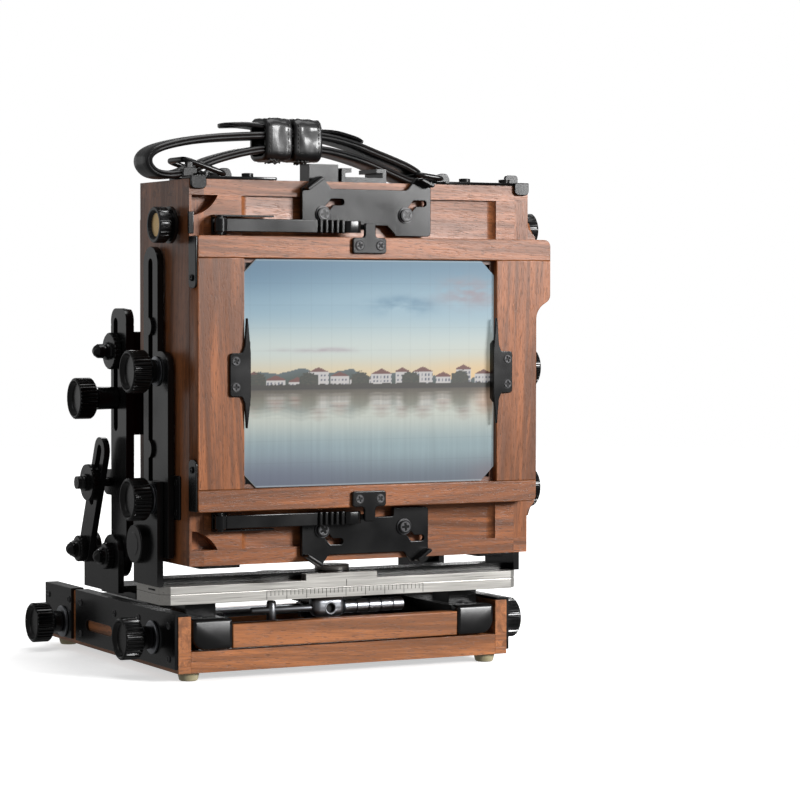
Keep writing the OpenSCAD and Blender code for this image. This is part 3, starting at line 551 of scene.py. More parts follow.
def dress_cad_nodes():
    """Gives each CAD node that stays its material and fine edges."""
    for name, obj in frame["nodes"].items():
        obj.data.materials.clear()
        slot = SLOTS[name]
        obj.data.materials.append(MATERIALS[slot])
        merge = obj.modifiers.new("merge", "WELD")
        merge.merge_threshold = 1e-6
        flat = obj.modifiers.new("flat", "DECIMATE")
        flat.decimate_type = "DISSOLVE"
        flat.angle_limit = math.radians(1)
        soften(obj, 0.25, 30)


# ---- building blocks
GRAIN_ORDER = {"X": (0, 1, 2), "Y": (1, 0, 2), "Z": (2, 0, 1)}


def carved(mesh, cutters):
    """The mesh with the cutters taken out of it."""
    scene = bpy.context.scene.collection
    body = bpy.data.objects.new("carved", mesh)
    scene.objects.link(body)
    used = []
    for cutter in cutters:
        tool = bpy.data.objects.new("cutter", cutter)
        scene.objects.link(tool)
        used.append(tool)
        cut = body.modifiers.new("cut", "BOOLEAN")
        cut.operation = "DIFFERENCE"
        cut.solver = "MANIFOLD"
        cut.object = tool
    made = bpy.data.meshes.new_from_object(body.evaluated_get(bpy.context.evaluated_depsgraph_get()))
    for obj in [body] + used:
        data = obj.data
        bpy.data.objects.remove(obj)
        bpy.data.meshes.remove(data)
    return made


def smooth_sides(mesh, angle=35):
    """Smooth shading, but for edges sharper than the angle."""
    mesh.shade_smooth()
    mesh.set_sharp_from_angle(angle=math.radians(angle))
    return mesh


def ball(centre, r, n=48):
    bm = bmesh.new()
    bmesh.ops.create_uvsphere(bm, u_segments=n, v_segments=n // 2, radius=r)
    bmesh.ops.translate(bm, verts=bm.verts, vec=centre)
    return from_bmesh(bm)


def boards(name, parts, body, material="walnut", bevel=0.35, replaces=(), seed=0):
    """One piece from separate boards, each a mesh and the axis that its grain follows."""
    grain = []
    for index, (mesh, axis) in enumerate(parts):
        a, b, c = GRAIN_ORDER[axis]
        shift = 0.211 * index + 0.573 * seed
        for vertex in mesh.vertices:
            p = vertex.co * MM
            lean = 0.04 * p[a] * (-1) ** index
            grain += [p[a] + shift, p[b] + lean + 0.31 * shift, p[c] + lean - 0.17 * shift]
    mesh = joined([mesh for mesh, axis in parts])
    layer = mesh.attributes.new("grain", "FLOAT_VECTOR", "POINT")
    layer.data.foreach_set("vector", grain)
    add_piece(name, mesh, material, body, *replaces, bevel=bevel)


def cad_solids(node):
    """The separate solids of a CAD node, in millimetres, with flat faces merged."""
    bm = bmesh.new()
    bm.from_mesh(frame["nodes"][node].data)
    bmesh.ops.scale(bm, vec=(1000, 1000, 1000), verts=bm.verts)
    bmesh.ops.remove_doubles(bm, verts=bm.verts, dist=1e-3)
    bmesh.ops.dissolve_limit(bm, angle_limit=math.radians(1), verts=bm.verts, edges=bm.edges)
    seen = set()
    solids = []
    for start in bm.verts:
        if start in seen:
            continue
        island, queue = [], [start]
        seen.add(start)
        while queue:
            vertex = queue.pop()
            island.append(vertex)
            for edge in vertex.link_edges:
                other = edge.other_vert(vertex)
                if other not in seen:
                    seen.add(other)
                    queue.append(other)
        number = {vertex: k for k, vertex in enumerate(island)}
        faces = {face for vertex in island for face in vertex.link_faces}
        faces = sorted(faces, key=lambda face: face.index)
        mesh = bpy.data.meshes.new("solid")
        mesh.from_pydata([vertex.co[:] for vertex in island], [], [[number[v] for v in face.verts]
            for face in faces])
        solids.append(mesh)
    bm.free()
    return solids


def extent(mesh):
    """The lowest and highest corner of a mesh."""
    points = [vertex.co for vertex in mesh.vertices]
    return (Vector(min(p[i] for p in points) for i in range(3)), Vector(max(p[i] for p in points)
        for i in range(3)))


def rounded_box(low, high, r, n=4):
    """A box with all its edges rounded to the radius r."""
    bm = bmesh.new()
    bmesh.ops.create_cube(bm, size=1)
    size = [b - a for a, b in zip(low, high)]
    bmesh.ops.scale(bm, vec=size, verts=bm.verts)
    bmesh.ops.translate(bm, vec=[(a + b) / 2 for a, b in zip(low, high)], verts=bm.verts)
    bmesh.ops.bevel(bm, geom=bm.edges[:], offset=r, segments=n, profile=0.5, affect="EDGES",
        clamp_overlap=True)
    return smooth_sides(from_bmesh(bm), 50)


def cross_outline(u, v, r, turn):
    """The recess of a cross-head screw."""
    w = r * 0.3
    corners = [(r, -w), (r, w), (w, w), (w, r), (-w, r), (-w, w), (-r, w), (-r, -w), (-w, -w), (-w, -r),
        (w, -r), (w, -w)]
    c, s = math.cos(turn), math.sin(turn)
    return [(u + a * c - b * s, v + a * s + b * c) for a, b in corners]


def screw(u, v, base, top, axis, r, turn=0.4, washer=0.0, seat=True):
    """A cross-head screw from base to top along the axis, with its seat on base."""
    middle = (base + top) / 2
    head = [circle(u, v, r, 24), cross_outline(u, v, r * 0.74, turn)]
    parts = [plate(head, axis, *sorted((middle, top)), 0.16)]
    if seat:
        parts.append(plate([circle(u, v, r, 24)], axis, *sorted((base, middle)), 0.05))
    if washer:
        face = base + math.copysign(0.5, top - base)
        parts.append(plate([circle(u, v, washer, 32)], axis, *sorted((base, face)), 0.15))
    return joined(parts)


def screw_shade_rings(places, base, face, axis, r):
    """Thin dark rings on the face of a plate, round the heads of its screws: painted shade in the gap round
    each head.
    """
    return [plate([circle(u, v, r, 24)], axis, min(base, face), max(base, face), 0) for u, v in places]


def sweep(route, section, closed=False, up=(0, 1, 0)):
    """Carries a section of (across, over) points along a route. Across lies along up."""
    side = Vector(up).normalized()
    rings = []
    count = len(route)
    for i, point in enumerate(route):
        before = Vector(route[i - 1] if closed or i else route[i])
        after = Vector(route[(i + 1) % count] if closed or i < count - 1 else route[i])
        ahead = (after - before).normalized()
        over = side.cross(ahead).normalized()
        across = ahead.cross(over).normalized()
        rings.append([Vector(point) + across * a + over * b for a, b in section])
    return loft(rings, closed)


def curve_through(points, steps=6, closed=False):
    """A smooth curve through the points."""
    made = []
    count = len(points)
    last = count if closed else count - 1
    for i in range(last):
        quad = []
        for k in (i - 1, i, i + 1, i + 2):
            k = k % count if closed else min(max(k, 0), count - 1)
            quad.append(Vector(points[k]))
        p0, p1, p2, p3 = quad
        for s in range(steps):
            t = s / steps
            made.append(0.5 * (2 * p1 + (p2 - p0) * t + (2 * p0 - 5 * p1 + 4 * p2 - p3) * t * t + (3 * p1
                - p0 - 3 * p2 + p3) * t ** 3))
    if not closed:
        made.append(Vector(points[-1]))
    return made


# ---- walnut
def base_boards():
    parts = []
    for mesh in cad_solids("base_walls"):
        low, high = extent(mesh)
        parts.append((mesh, "Y" if high.y - low.y > 100 else "X"))
    # The base boards and the tray bar take the lighter walnut copy: painted light.
    boards("base_frame", parts, "base", "walnut_painted_light", replaces=["base_walls"], seed=1)
    bar = box_mesh((-57.4, -73.5, 10.3), (57.4, -66, 21.2), 0.5)
    boards("tray_end_bar", [(bar, "X")], "rear_tray", "walnut_painted_light", 0, ["tray_bar"], 2)


SCOOP_CENTRE = (-86.2, 219.6)
SCOOP_RADIUS = 15.9
SCOOP_TOP = 215.4


def scoop_cutters():
    """Quarter-round reliefs at both left corners of the rear face: a flat floor and a curved wall."""
    outline = [(-84.3, SCOOP_TOP)]
    for k in range(15):
        angle = math.radians(-15.3 - 81 * k / 14)
        outline.append((SCOOP_CENTRE[0] + SCOOP_RADIUS * math.cos(angle), SCOOP_CENTRE[1]
            + SCOOP_RADIUS * math.sin(angle)))
    outline.append((-84.3, outline[-1][1]))
    tool = plate([outline], "Y", -96, -83.2, 0)
    return [tool, mirrored(tool, False)]


def rear_box_boards():
    parts = []
    for mesh in cad_solids("rear_box"):
        low, high = extent(mesh)
        upright = high.z - low.z > 100
        if upright and low.x < 0:
            mesh = smooth_sides(carved(mesh, scoop_cutters()), 25)
        parts.append((mesh, "Z" if upright else "X"))
    boards("rear_box_boards", parts, "rear_box", replaces=["rear_box"], seed=3)


def rear_face_board():
    """The rear board: an opening, two long recesses for the film locks, and scooped corners."""
    solids = cad_solids("rear_face")
    solids.sort(key=lambda mesh: extent(mesh)[1].x)
    board, wing = solids
    recess = rounded_box((-61, -110, 190), (69.2, -87.4, 235), 4.4, 6)
    cutters = [recess, mirrored(recess, False)] + scoop_cutters()
    board = smooth_sides(carved(board, cutters), 25)
    cut = [ball((97, -95, z), 14) for z in (207, 62)]
    wing = smooth_sides(carved(wing, cut), 25)
    boards("rear_face_board", [(board, "X"), (wing, "X")], "rear_box", bevel=0,
        replaces=["rear_face"], seed=4)


def screen_frame_boards():
    """The frame of the focusing screen: rails over stiles, with a rounded grip on the right."""
    top = fillet([(-85.7, 185.3, 0), (92, 185.3, 0), (92, 195, 3.2), (-85.7, 195, 1.2)])
    bottom = fillet([(-85.7, 74, 1.2), (84.6, 74, 2.5), (84.6, 83.7, 0), (-85.7, 83.7, 0)])
    right = fillet([(63.5, 83.7, 0), (84.6, 83.7, 0), (84.6, 162.6, 8), (92, 167.4, 4), (92, 185.3, 0),
        (63.5, 185.3, 0)], 8)
    left = [(-85.7, 83.7), (-63.5, 83.7), (-63.5, 185.3), (-85.7, 185.3)]
    parts = []
    for outline, axis in ((top, "X"), (bottom, "X"), (left, "Z"), (right, "Z")):
        mesh = plate([outline], "Y", -99.8, -90.1, 0.4)
        if axis == "X":
            mesh = carved(mesh, [box_mesh((-50, -92.6, z), (42, -80, z + 8), 0) for z in (189.3, 71.7)])
        parts.append((mesh, axis))
    ledge = []
    for low, high, axis in (((-63.6, -96.2, 183.3), (63.6, -94.2, 185.4), "X"),
                            ((-63.6, -96.2, 83.6), (63.6, -94.2, 85.7), "X"),
                            ((-63.6, -96.2, 85.7), (-61.5, -94.2, 183.3), "Z"),
                            ((61.5, -96.2, 85.7), (63.6, -94.2, 183.3), "Z")):
        ledge.append((box_mesh(low, high, 0.1), axis))
    boards("screen_frame_boards", parts, "focusing_screen", bevel=0, replaces=["screen_frame"], seed=5)
    boards("screen_ledge", ledge, "focusing_screen", "walnut_dark", bevel=0, seed=6)
    strip = fillet([(-99.2, 74.2, 0.8), (-91.2, 74.2, 0.8), (-91.2, 97, 2.5), (-99.2, 97, 2.5)])
    low = joined([plate([strip], "X", -86.6, -85.6, 0.2), screw(-95.2, 92.5, -86.6, -87.3, "X", 1.5)])
    add_piece("screen_corner_strips", joined([mirrored(low, False), low]), "black_metal", "focusing_screen")


def front_frame_boards():
    hw, z0, z1 = 70, 64.5, 204.5
    pieces = []
    for low, high, axis in (((-hw, -8, z0), (-44, 6, z1), "Z"), ((44, -8, z0), (hw, 6, z1), "Z"),
                            ((-44, -8, z0), (44, 6, 90.5), "X"), ((-44, -8, 178.5), (44, 6, z1), "X")):
        pieces.append((box_mesh(low, high, 0.5), axis))
    boards("front_frame_boards", pieces, "front_frame", bevel=0, replaces=["front_frame"], seed=7)


def front_frame_fittings():
    """Side brackets with their clamp and guide studs, and the lip under the lens board."""
    left = [box_mesh((-78.8, -7, 104), (-70, 8, 152), 0.6)]
    for z, r, length in ((121, 2.5, 18.3), (143, 2.3, 5.3)):
        left.append(lathe([(0, 0.2), (0, r), (length - 0.3, r), (length, r - 0.3), (length, 0.2)], "-X",
            (-78.7, 4, z)))
    side = joined(left)
    lip = plate([[(6, 79.5), (12, 79.5), (12, 88.5), (10.1, 88.5), (10.1, 85.4), (6, 85.4)]],
        "X", -40, 40, 0.3)
    add_piece("front_frame_fittings", joined([mirrored(side), side, lip]), "black_metal", "front_frame",
        "front_frame")


# ---- knobs
def knurl(depth, start, stop, low=0.0):
    """Ribs from start to stop, where the radius is over low: dents two of a lathe's sides in four."""
    def radius_at(radius, k, along):
        return radius - depth if radius > low and start <= along <= stop and k % 4 >= 2 else radius
    return radius_at


def knob_profile(neck_end, stud_end, r=9.6):
    """A dished face, a ribbed rim, a tapered neck and a stud, from the face inwards."""
    return [(1.9, 0.0), (1.9, r - 2.6), (1.4, r - 2.0), (0.2, r - 1.5), (0.0, r - 1.2), (0.0, r - 0.9),
        (0.35, r - 0.5), (0.7, r), (1.2, r), (7.9, r), (8.5, r - 0.5), (9.0, r - 1.2), (9.2, 7.3),
        (9.9, 6.1), (11.0, 5.4), (neck_end - 0.3, 5.2), (neck_end, 4.9), (neck_end + 0.05, 2.5),
        (stud_end, 2.5)]


KNOB_RIBS = knurl(0.75, 0.7, 7.9, 9.3)


def clamp_knob(name, body, x_neck, x_tip, y, z, sign):
    knob = lathe(knob_profile(104 - x_neck, 104 - x_tip), "-X" if sign > 0 else "X", (sign * 104, y, z),
        128, KNOB_RIBS)
    add_piece(name, smooth_sides(knob, 28), "black_metal", body, body)


def clamp_washer(name, body, x, z):
    profile = [(-0.45, 0.1), (-0.45, 6.4), (-0.3, 6.7), (0.3, 6.7), (0.45, 6.4), (0.45, 0.1)]
    add_piece(name, smooth_sides(lathe(profile, "X", (x, -62, z))), "steel", body)


def knobs():
    for side, sign in (("left", -1), ("right", 1)):
        clamp_knob("tilt_clamp_" + side, "rear_tilt_knob_" + side, 92.8, 89.6, -62, 78, sign)
        clamp_knob("rise_clamp_" + side, "rear_rise_knob_" + side, 89.6, 85.6, -62, 135, sign)
        clamp_knob("front_clamp_" + side, "front_rise_knob_" + side, 83.1, 82.9, 4, 121, sign)
        clamp_washer("tilt_washer_" + side, "rear_swing", sign * 93.2, 78)
        clamp_washer("rise_washer_" + side, "rear_arms", sign * 90.0, 135)
        back_lock(side, sign)
    collar = [(0, 3.4), (0, 7.2), (0.3, 7.6), (1.0, 7.6), (1.3, 7.3), (1.3, 3.4), (0, 3.4)]
    for drive, y, z in (("rear_focus", -47.3, 14), ("front_focus", 68, 9.6)):
        pair = [lathe(knob_profile(14.8, 15.2), axis, (x, y, z), 128, KNOB_RIBS)
            for axis, x in (("X", -102), ("-X", 102))]
        add_piece(drive + "_knob_pair", smooth_sides(joined(pair), 28), "black_metal", drive + "_drive",
            drive + "_knobs")
        collars = [lathe(collar, "X", (sign * 86.2 - 0.65, y, z)) for sign in (-1, 1)]
        add_piece(drive + "_collars", smooth_sides(joined(collars)), "steel", "base")


def back_lock(side, sign):
    """A small knurled lock knob with a brass disc in its black rim."""
    axis = "X" if sign < 0 else "-X"
    place = (sign * 96, -74, 200)
    rim = lathe([(1.3, 5.1), (1.3, 5.5), (0.3, 6.2), (0, 6.6), (0, 7.6), (0.4, 8.0), (0.9, 8.0), (5.2, 8.0),
        (5.6, 7.5), (5.8, 6.6), (6.6, 6.2), (6.9, 6.6), (7.1, 8.2), (8.6, 8.2), (8.8, 7.8), (8.8, 4.0),
        (10.4, 4.0), (10.5, 2.4), (15, 2.4), (15, 0.2), (1.4, 0.2), (1.4, 5.1)], axis, place, 112,
        knurl(0.4, 0.8, 5.3))
    add_piece("back_lock_rim_" + side, smooth_sides(rim, 28), "black_metal", "back_lock_" + side,
        "back_lock_" + side)
    disc = lathe([(1.3, 0), (1.1, 1.0), (1.25, 4.0), (1.3, 5.15), (1.38, 5.15), (1.38, 0)], axis, place, 48)
    add_piece("back_lock_disc_" + side, smooth_sides(disc), "brass", "back_lock_" + side)


# ---- film locks, lugs, clips, arms
def film_locks():
    top = [(-32, 200.5, 0), (10.7, 200.5, 1), (14.7, 196.6, 1), (14.7, 195.9, 0.3), (33, 195.9, 1.8),
        (33, 219.6, 1.2), (26, 222.6, 0.6), (22.4, 218.6, 1), (20.6, 216.8, 1.5), (-17.4, 216.8, 1.5),
        (-22.2, 222.4, 0.6), (-24.2, 222.2, 0.6), (-32, 216.9, 0.8)]
    slots = [[(-21.8, 205.4), (-16.9, 210.9), (-12.4, 210.9)], [(19.9, 205.4), (24.8, 210.9), (29.3, 210.9)]]
    tabs = [((-32, 216.6), (-23.6, 222.4)), ((25.7, 222.6), (33, 219.3))]
    add_piece("film_lock_top_plate", lock_mesh(top, slots, tabs), "black_metal", "film_lock_top",
        "film_lock_top")
    low = [(-32, 68.7, 0), (-32, 52.5, 0.8), (-24, 47.2, 0.6), (-22.6, 47.2, 0.6), (-18.6, 52.4, 1.5),
        (19.6, 52.4, 1.5), (23.6, 47.6, 0.6), (25.2, 47.8, 0.6), (32, 52.9, 1.2), (32, 72.6, 1.8),
        (14.2, 72.6, 0.3), (14.2, 69.5, 1), (13.6, 68.7, 0.3)]
    slots = [[(-22, 63.8), (-17.2, 58.3), (-12.7, 58.3)], [(19.3, 63.8), (24.1, 58.3), (28.6, 58.3)]]
    tabs = [((-32, 52.3), (-23.8, 47.2)), ((24.4, 47.6), (32, 52.8))]
    add_piece("film_lock_bottom_plate", lock_mesh(low, slots, tabs), "black_metal", "film_lock_bottom",
        "film_lock_bottom")
    places = [(-21.8, 205.4), (19.9, 205.4), (-22, 63.8), (19.3, 63.8)]
    heads = [screw(x, z, -92.3, -94.2, "Y", 2.5, turn, 3.7, False) for (x, z), turn in zip(places,
        (0.2, 0.7, 0.5, 0.1))]
    add_piece("film_lock_screws", joined(heads), "black_screw", "rear_box")
    # Dark rings round the screw heads: painted shade in the gaps.
    rings = screw_shade_rings(places, -92.3, -93.0, "Y", 3.0)
    add_piece("film_lock_shade_rings", joined(rings), "mark", "rear_box")


def bent_slot(points, width):
    """The outline of a slot that follows three points."""
    a, b, c = (Vector(p) for p in points)
    first, second = (b - a).normalized(), (c - b).normalized()
    half = width / 2
    normal = (Vector((-first.y, first.x)) + Vector((-second.y, second.x))).normalized()
    reach = half / normal.dot(Vector((-first.y, first.x)))
    far = arc(c.x, c.y, half, math.atan2(second.y, second.x) - math.pi / 2, math.pi, 6)
    near = arc(a.x, a.y, half, math.atan2(first.y, first.x) + math.pi / 2, math.pi, 6)
    return far + [tuple(b + normal * reach)] + near + [tuple(b - normal * reach)]


def lock_mesh(outline, slots, tabs):
    """A flat plate with bent slots, and thumb tabs folded towards the viewer."""
    made = [plate([fillet(outline)] + [bent_slot(s, 2.7) for s in slots], "Y", -92.2, -89.75, 0.3)]
    for a, b in tabs:
        a, b = Vector(a), Vector(b)
        along = (b - a).normalized()
        out = Vector((-along.y, along.x))
        if out.dot(Vector(((a + b) / 2).to_tuple()) - Vector((0.5, AXIS_Z))) < 0:
            out = -out
        corners = [a + along * 0.4, b - along * 0.4, b - along * 0.4 - out * 1.6, a + along * 0.4 - out * 1.6]
        tab = [(p.x, p.y, 0.5) for p in corners]
        made.append(plate([fillet(tab, 3)], "Y", -97.4, -90.2, 0.5))
    return joined(made)


def screen_lugs():
    outline = fillet([(-11.2, 187.7, 1.3), (5.6, 187.7, 1.3), (5.6, 194.8, 1.3), (0.2, 194.8, 1.6),
        (0.2, 201.5, 1.0), (-5.2, 201.5, 1.0), (-5.2, 194.8, 1.6), (-11.2, 194.8, 1.3)])
    lug = plate([outline], "Y", -101.5, -99.75, 0.45)
    lugs = [lug, mirrored(lug, False)]
    add_piece("screen_lug_plates", joined(lugs), "black_metal", "focusing_screen", "screen_lugs")
    lug_places = [(x, z) for x in (-7.9, 2.5) for z in (191.3, 2 * AXIS_Z - 191.3)]
    clip_places = [(x, z) for x in (-68.3, 68.3) for z in (140, 128.6)]
    heads = [screw(x, z, -101.2, -101.95, "Y", 1.85, 0.3 if x < 0 else 0.75, 0.0, False)
        for x, z in lug_places]
    heads += [screw(x, z, -100.9, -101.7, "Y", 1.85, 0.2 + z, 0.0, False) for x, z in clip_places]
    add_piece("screen_screws", joined(heads), "black_screw", "focusing_screen")
    # Dark rings round the screw heads: painted shade in the gaps.
    rings = screw_shade_rings(lug_places, -101.4, -101.56, "Y", 2.3)
    rings += screw_shade_rings(clip_places, -101.1, -101.26, "Y", 2.3)
    add_piece("screen_screw_shade_rings", joined(rings), "mark", "focusing_screen")


def screen_clips():
    """Side clips: a plate screwed to the frame, with a flared blade that presses on the sheet."""
    outline = fillet([(-71, 124.4, 1.4), (-65.2, 124.4, 1), (-64.0, 121.5, 0.6), (-63.2, 110.6, 0.3),
        (-62.5, 110.4, 0.3), (-61.0, 124.4, 1), (-61.0, 143.6, 1), (-62.4, 158.9, 0.3), (-63.1, 158.9, 0.3),
        (-64.0, 146.6, 0.6), (-65.2, 143.6, 1), (-71, 143.6, 1.4)], 3)
    front = plate([outline], "Y", -101.2, -99.75, 0.35)
    flange = fillet([(-100.4, 120, 0.3), (-97.75, 122, 0.5), (-97.75, 147, 0.5), (-100.4, 149, 0.3)], 2)
    blade = plate([flange], "X", -61.7, -60.9, 0.2)
    left = joined([front, blade])
    add_piece("screen_clip_plates", joined([left, mirrored(left)]), "black_metal", "focusing_screen",
        "screen_clips")


def spring_arms():
    """Flat spring arms with a ribbed thumb grip and a rounded, curled tip."""
    low, high = 196.8, 202.6
    pivot = [(0, 1.6), (0, 2.3), (0.3, 2.6), (5.9, 2.6), (6.2, 2.3), (6.2, 1.6)]
    parts = [box_mesh((-71.6, -98.5, low), (-27.2, -95.6, high), 0.35),
        lathe(pivot, "Z", (-73.8, -97, 196.6), 32),
        box_mesh((-74.0, -98.2, low + 0.2), (-71.0, -95.7, high - 0.2)),
        box_mesh((-27.3, -98.0, low), (-13.4, -95.6, high))]
    for k in range(5):
        x = -26.6 + k * 2.7
        parts.append(box_mesh((x, -99.6, low - 0.1), (x + 1.35, -97.6, high + 0.1), 0.4))
    tip = fillet([(-13.5, -95.6, 0), (-13.5, -98.4, 1.0), (-11.6, -99.5, 2.2), (-7.4, -99.5, 2.2),
        (-5.5, -98.2, 1.0), (-5.5, -95.6, 0)], 5)
    parts.append(plate([tip], "Z", low + 0.2, high - 0.2, 0.3))
    finger = [(-6, -96.6), (-4, -96.9), (-2.6, -97.9), (-1.9, -97.4), (-3.4, -95.9), (-6, -95.7)]
    parts.append(plate([finger], "Z", low + 1.6, high - 1.6, 0.2))
    arm = joined(parts)
    for body, mesh in (("spring_arm_top", arm), ("spring_arm_bottom", mirrored(arm, False))):
        add_piece(body + "_lever", mesh, "black_metal", body, body)


# ---- the view on the screen
def mixed(a, b, t):
    t = min(max(t, 0.0), 1.0)
    return tuple(p + (q - p) * t for p, q in zip(a, b))


def stops(value, table):
    """A colour from a list of (place, colour) stops."""
    for (a, first), (b, second) in zip(table, table[1:]):
        if value <= b:
            t = max(0.0, (value - a) / (b - a))
            return mixed(first, second, t * t * (3 - 2 * t))
    return table[-1][1]


def bump_at(value, centre, width):
    return math.exp(-((value - centre) / width) ** 2)


def cloud(u, v, scale, offset):
    return noise.fractal(Vector((u * scale, v * scale * 2.2, offset)), 0.9, 2.0, 4,
        noise_basis="PERLIN_ORIGINAL")


SKY = [(0.0, (90, 130, 155)), (0.2, (150, 180, 195)), (0.4, (200, 210, 205)), (0.56, (220, 195, 155))]
WATER = [(0.56, (190, 175, 150)), (0.68, (195, 200, 190)), (0.84, (145, 165, 170)), (1.0, (100, 110, 122))]
SHORE = 0.568
HILL_STEP = 0.37
HOUSE_COUNT = 12


def house_at(u, v):
    """The colour of a row of plain gabled houses, or None above their roofs."""
    number = math.floor(u * HOUSE_COUNT)
    across = u * HOUSE_COUNT - number
    height = 0.028 + 0.026 * noise.cell(Vector((number + 0.5, 3.5, 7.5)))
    margin = 0.08 + 0.1 * noise.cell(Vector((number + 0.5, 8.5, 2.5)))
    if not margin < across < 1 - margin:
        return None
    eaves = 0.545 - height
    ridge = eaves - 0.022 * (1 - abs(across - 0.5) / 0.5)
    if v < ridge:
        return None
    if v < eaves:
        return (112, 72, 66)
    window = (across * 6) % 1 > 0.55 and ((v - eaves) / 0.02) % 1 > 0.5
    return (96, 100, 114) if window else (196, 192, 190)


def town_at(u, v):
    """The colour of the far shore at a point, or None where the sky shows."""
    found = None
    hill = 0.512 - 0.022 * math.sin(u * 5 + HILL_STEP) - 0.02 * cloud(u, 0.0, 11, 6)
    if v > hill:
        found = mixed((88, 100, 104), (70, 80, 74), (v - hill) / 0.04)
    house = house_at(u, v)
    if house:
        found = house
    trees = 0.528 - 0.03 * max(0.0, math.sin(u * 31)) - 0.012 * cloud(u, v, 60, 5)
    if v > trees and math.sin(u * 31) > 0.45:
        found = mixed((50, 56, 48), (72, 68, 58), cloud(u, v, 90, 8) + 0.5)
    if v > 0.55 + 0.005 * cloud(u, v, 30, 2):
        found = (58, 54, 48)
    return found


def view_at(u, v):
    """The colour of the picture at a point: u from the left, v from the top, both 0 to 1."""
    if v < SHORE:
        town = town_at(u, v) if v > 0.41 else None
        if town:
            return town
        colour = stops(v, SKY)
        colour = mixed(colour, (70, 112, 142), 0.55 * bump_at(u, 0, 0.35) * bump_at(v, 0, 0.2))
        colour = mixed(colour, (238, 196, 138), 0.75 * bump_at(v, 0.53, 0.09) * bump_at(u, 1.0, 0.3))
        colour = mixed(colour, (232, 206, 158), 0.6 * bump_at(v, 0.54, 0.07) * bump_at(u, 0.4, 0.22))
        puff = max(0.0, cloud(u, v, 9, 1) + 0.6)
        high = bump_at(u, 0.62, 0.12) * bump_at(v, 0.2, 0.035)
        colour = mixed(colour, (95, 135, 160), high * puff)
        warm = bump_at(u, 0.9, 0.12) * bump_at(v, 0.14, 0.06)
        colour = mixed(colour, (150, 135, 142), warm * puff)
        low = bump_at(u, 0.3, 0.14) * bump_at(v, 0.4, 0.01)
        return mixed(colour, (175, 165, 170), low * puff)
    colour = stops(v, WATER)
    depth = v - SHORE
    mirror_v = SHORE - depth * 0.8
    blur = 0.0
    total = (0.0, 0.0, 0.0)
    for k in range(-3, 4):
        for j in (0.0, 0.012, 0.028):
            town = town_at(u + k * 0.0035, mirror_v + j)
            if town:
                total = tuple(a + b for a, b in zip(total, town))
                blur += 1
    if blur:
        seen = tuple(a / blur for a in total)
        colour = mixed(colour, seen, 0.8 * blur / 21 * math.exp(-depth * 7))
    streak = noise.noise(Vector((u * 70, v * 3, 9))) + noise.noise(Vector((u * 190, v * 4, 4))) * 0.6
    colour = tuple(c * (1 + 0.035 * streak) for c in colour)
    colour = mixed(colour, (96, 100, 122), 0.5 * bump_at(u, 0.12, 0.3) * bump_at(v, 0.97, 0.12))
    colour = mixed(colour, (208, 150, 110), 0.5 * bump_at(u, 1.0, 0.07) * bump_at(v, 0.63, 0.06))
    colour = mixed(colour, (132, 116, 122), 0.5 * bump_at(u, 1.0, 0.1) * bump_at(v, 0.97, 0.06))
    return mixed(colour, (46, 42, 42), 0.9 * math.exp(-(depth / 0.006) ** 2))


def to_linear(c):
    c = min(max(c / 255, 0.0), 1.0)
    return c / 12.92 if c <= 0.04045 else ((c + 0.055) / 1.055) ** 2.4


def screen_picture():
    """The sheet that shows the view: a fine grid, painted point by point, with clipped corners."""
    hw, hh, nx, nz, cut = 63.1, 50.4, 312, 249, 16
    x_step, z_step = 2 * hw / nx, 2 * hh / nz
    front, back = -97.45, -96.25

    def inside(i, k):
        a, b = min(i, nx - i), min(k, nz - k)
        return a + b >= cut

    index, points, paint = {}, [], []
    for k in range(nz + 1):
        for i in range(nx + 1):
            if not inside(i, k):
                continue
            index[i, k] = len(points)
            u, v = i / nx, 1 - k / nz
            points.append((-hw + i * x_step, front, AXIS_Z - hh + k * z_step))
            colour = view_at(u, v)
            edge = min(i * x_step, (nx - i) * x_step, k * z_step, (nz - k) * z_step)
            for line in (round((u - 0.5) * 2 * hw / 10) * 10 - (u - 0.5) * 2 * hw,
                         round((v - 0.5) * 2 * hh / 10) * 10 - (v - 0.5) * 2 * hh):
                if abs(line) < 0.2:
                    colour = tuple(c * 0.97 for c in colour)
            if edge < 0.5:
                colour = mixed(colour, (200, 212, 216), 0.5)
            paint += [to_linear(c) for c in colour] + [1.0]
    faces = []
    for k in range(nz):
        for i in range(nx):
            corners = [c for c in ((i, k), (i + 1, k), (i + 1, k + 1), (i, k + 1)) if c in index]
            if len(corners) >= 3:
                faces.append([index[c] for c in corners])
    rim = octagon(hw, hh, cut * x_step, cut * z_step)
    start = len(points)
    for y in (front, back):
        points += [(u, y, AXIS_Z + v) for u, v in rim]
        paint += [0.5, 0.56, 0.58, 1.0] * len(rim)
    n = len(rim)
    faces += [[start + k, start + (k + 1) % n, start + n + (k + 1) % n, start + n + k] for k in range(n)]
    faces.append([start + n + k for k in range(n)])
    mesh = bpy.data.meshes.new("picture")
    mesh.from_pydata(points, [], faces)
    layer = mesh.color_attributes.new("paint", "FLOAT_COLOR", "POINT")
    layer.data.foreach_set("color", paint)
    add_piece("screen_picture", mesh, "ground_glass", "focusing_screen", "fresnel_sheet")


def octagon(hw, hh, cut_u, cut_v):
    return [(-hw + cut_u, -hh), (hw - cut_u, -hh), (hw, -hh + cut_v), (hw, hh - cut_v), (hw - cut_u, hh),
        (-hw + cut_u, hh), (-hw, hh - cut_v), (-hw, -hh + cut_v)]


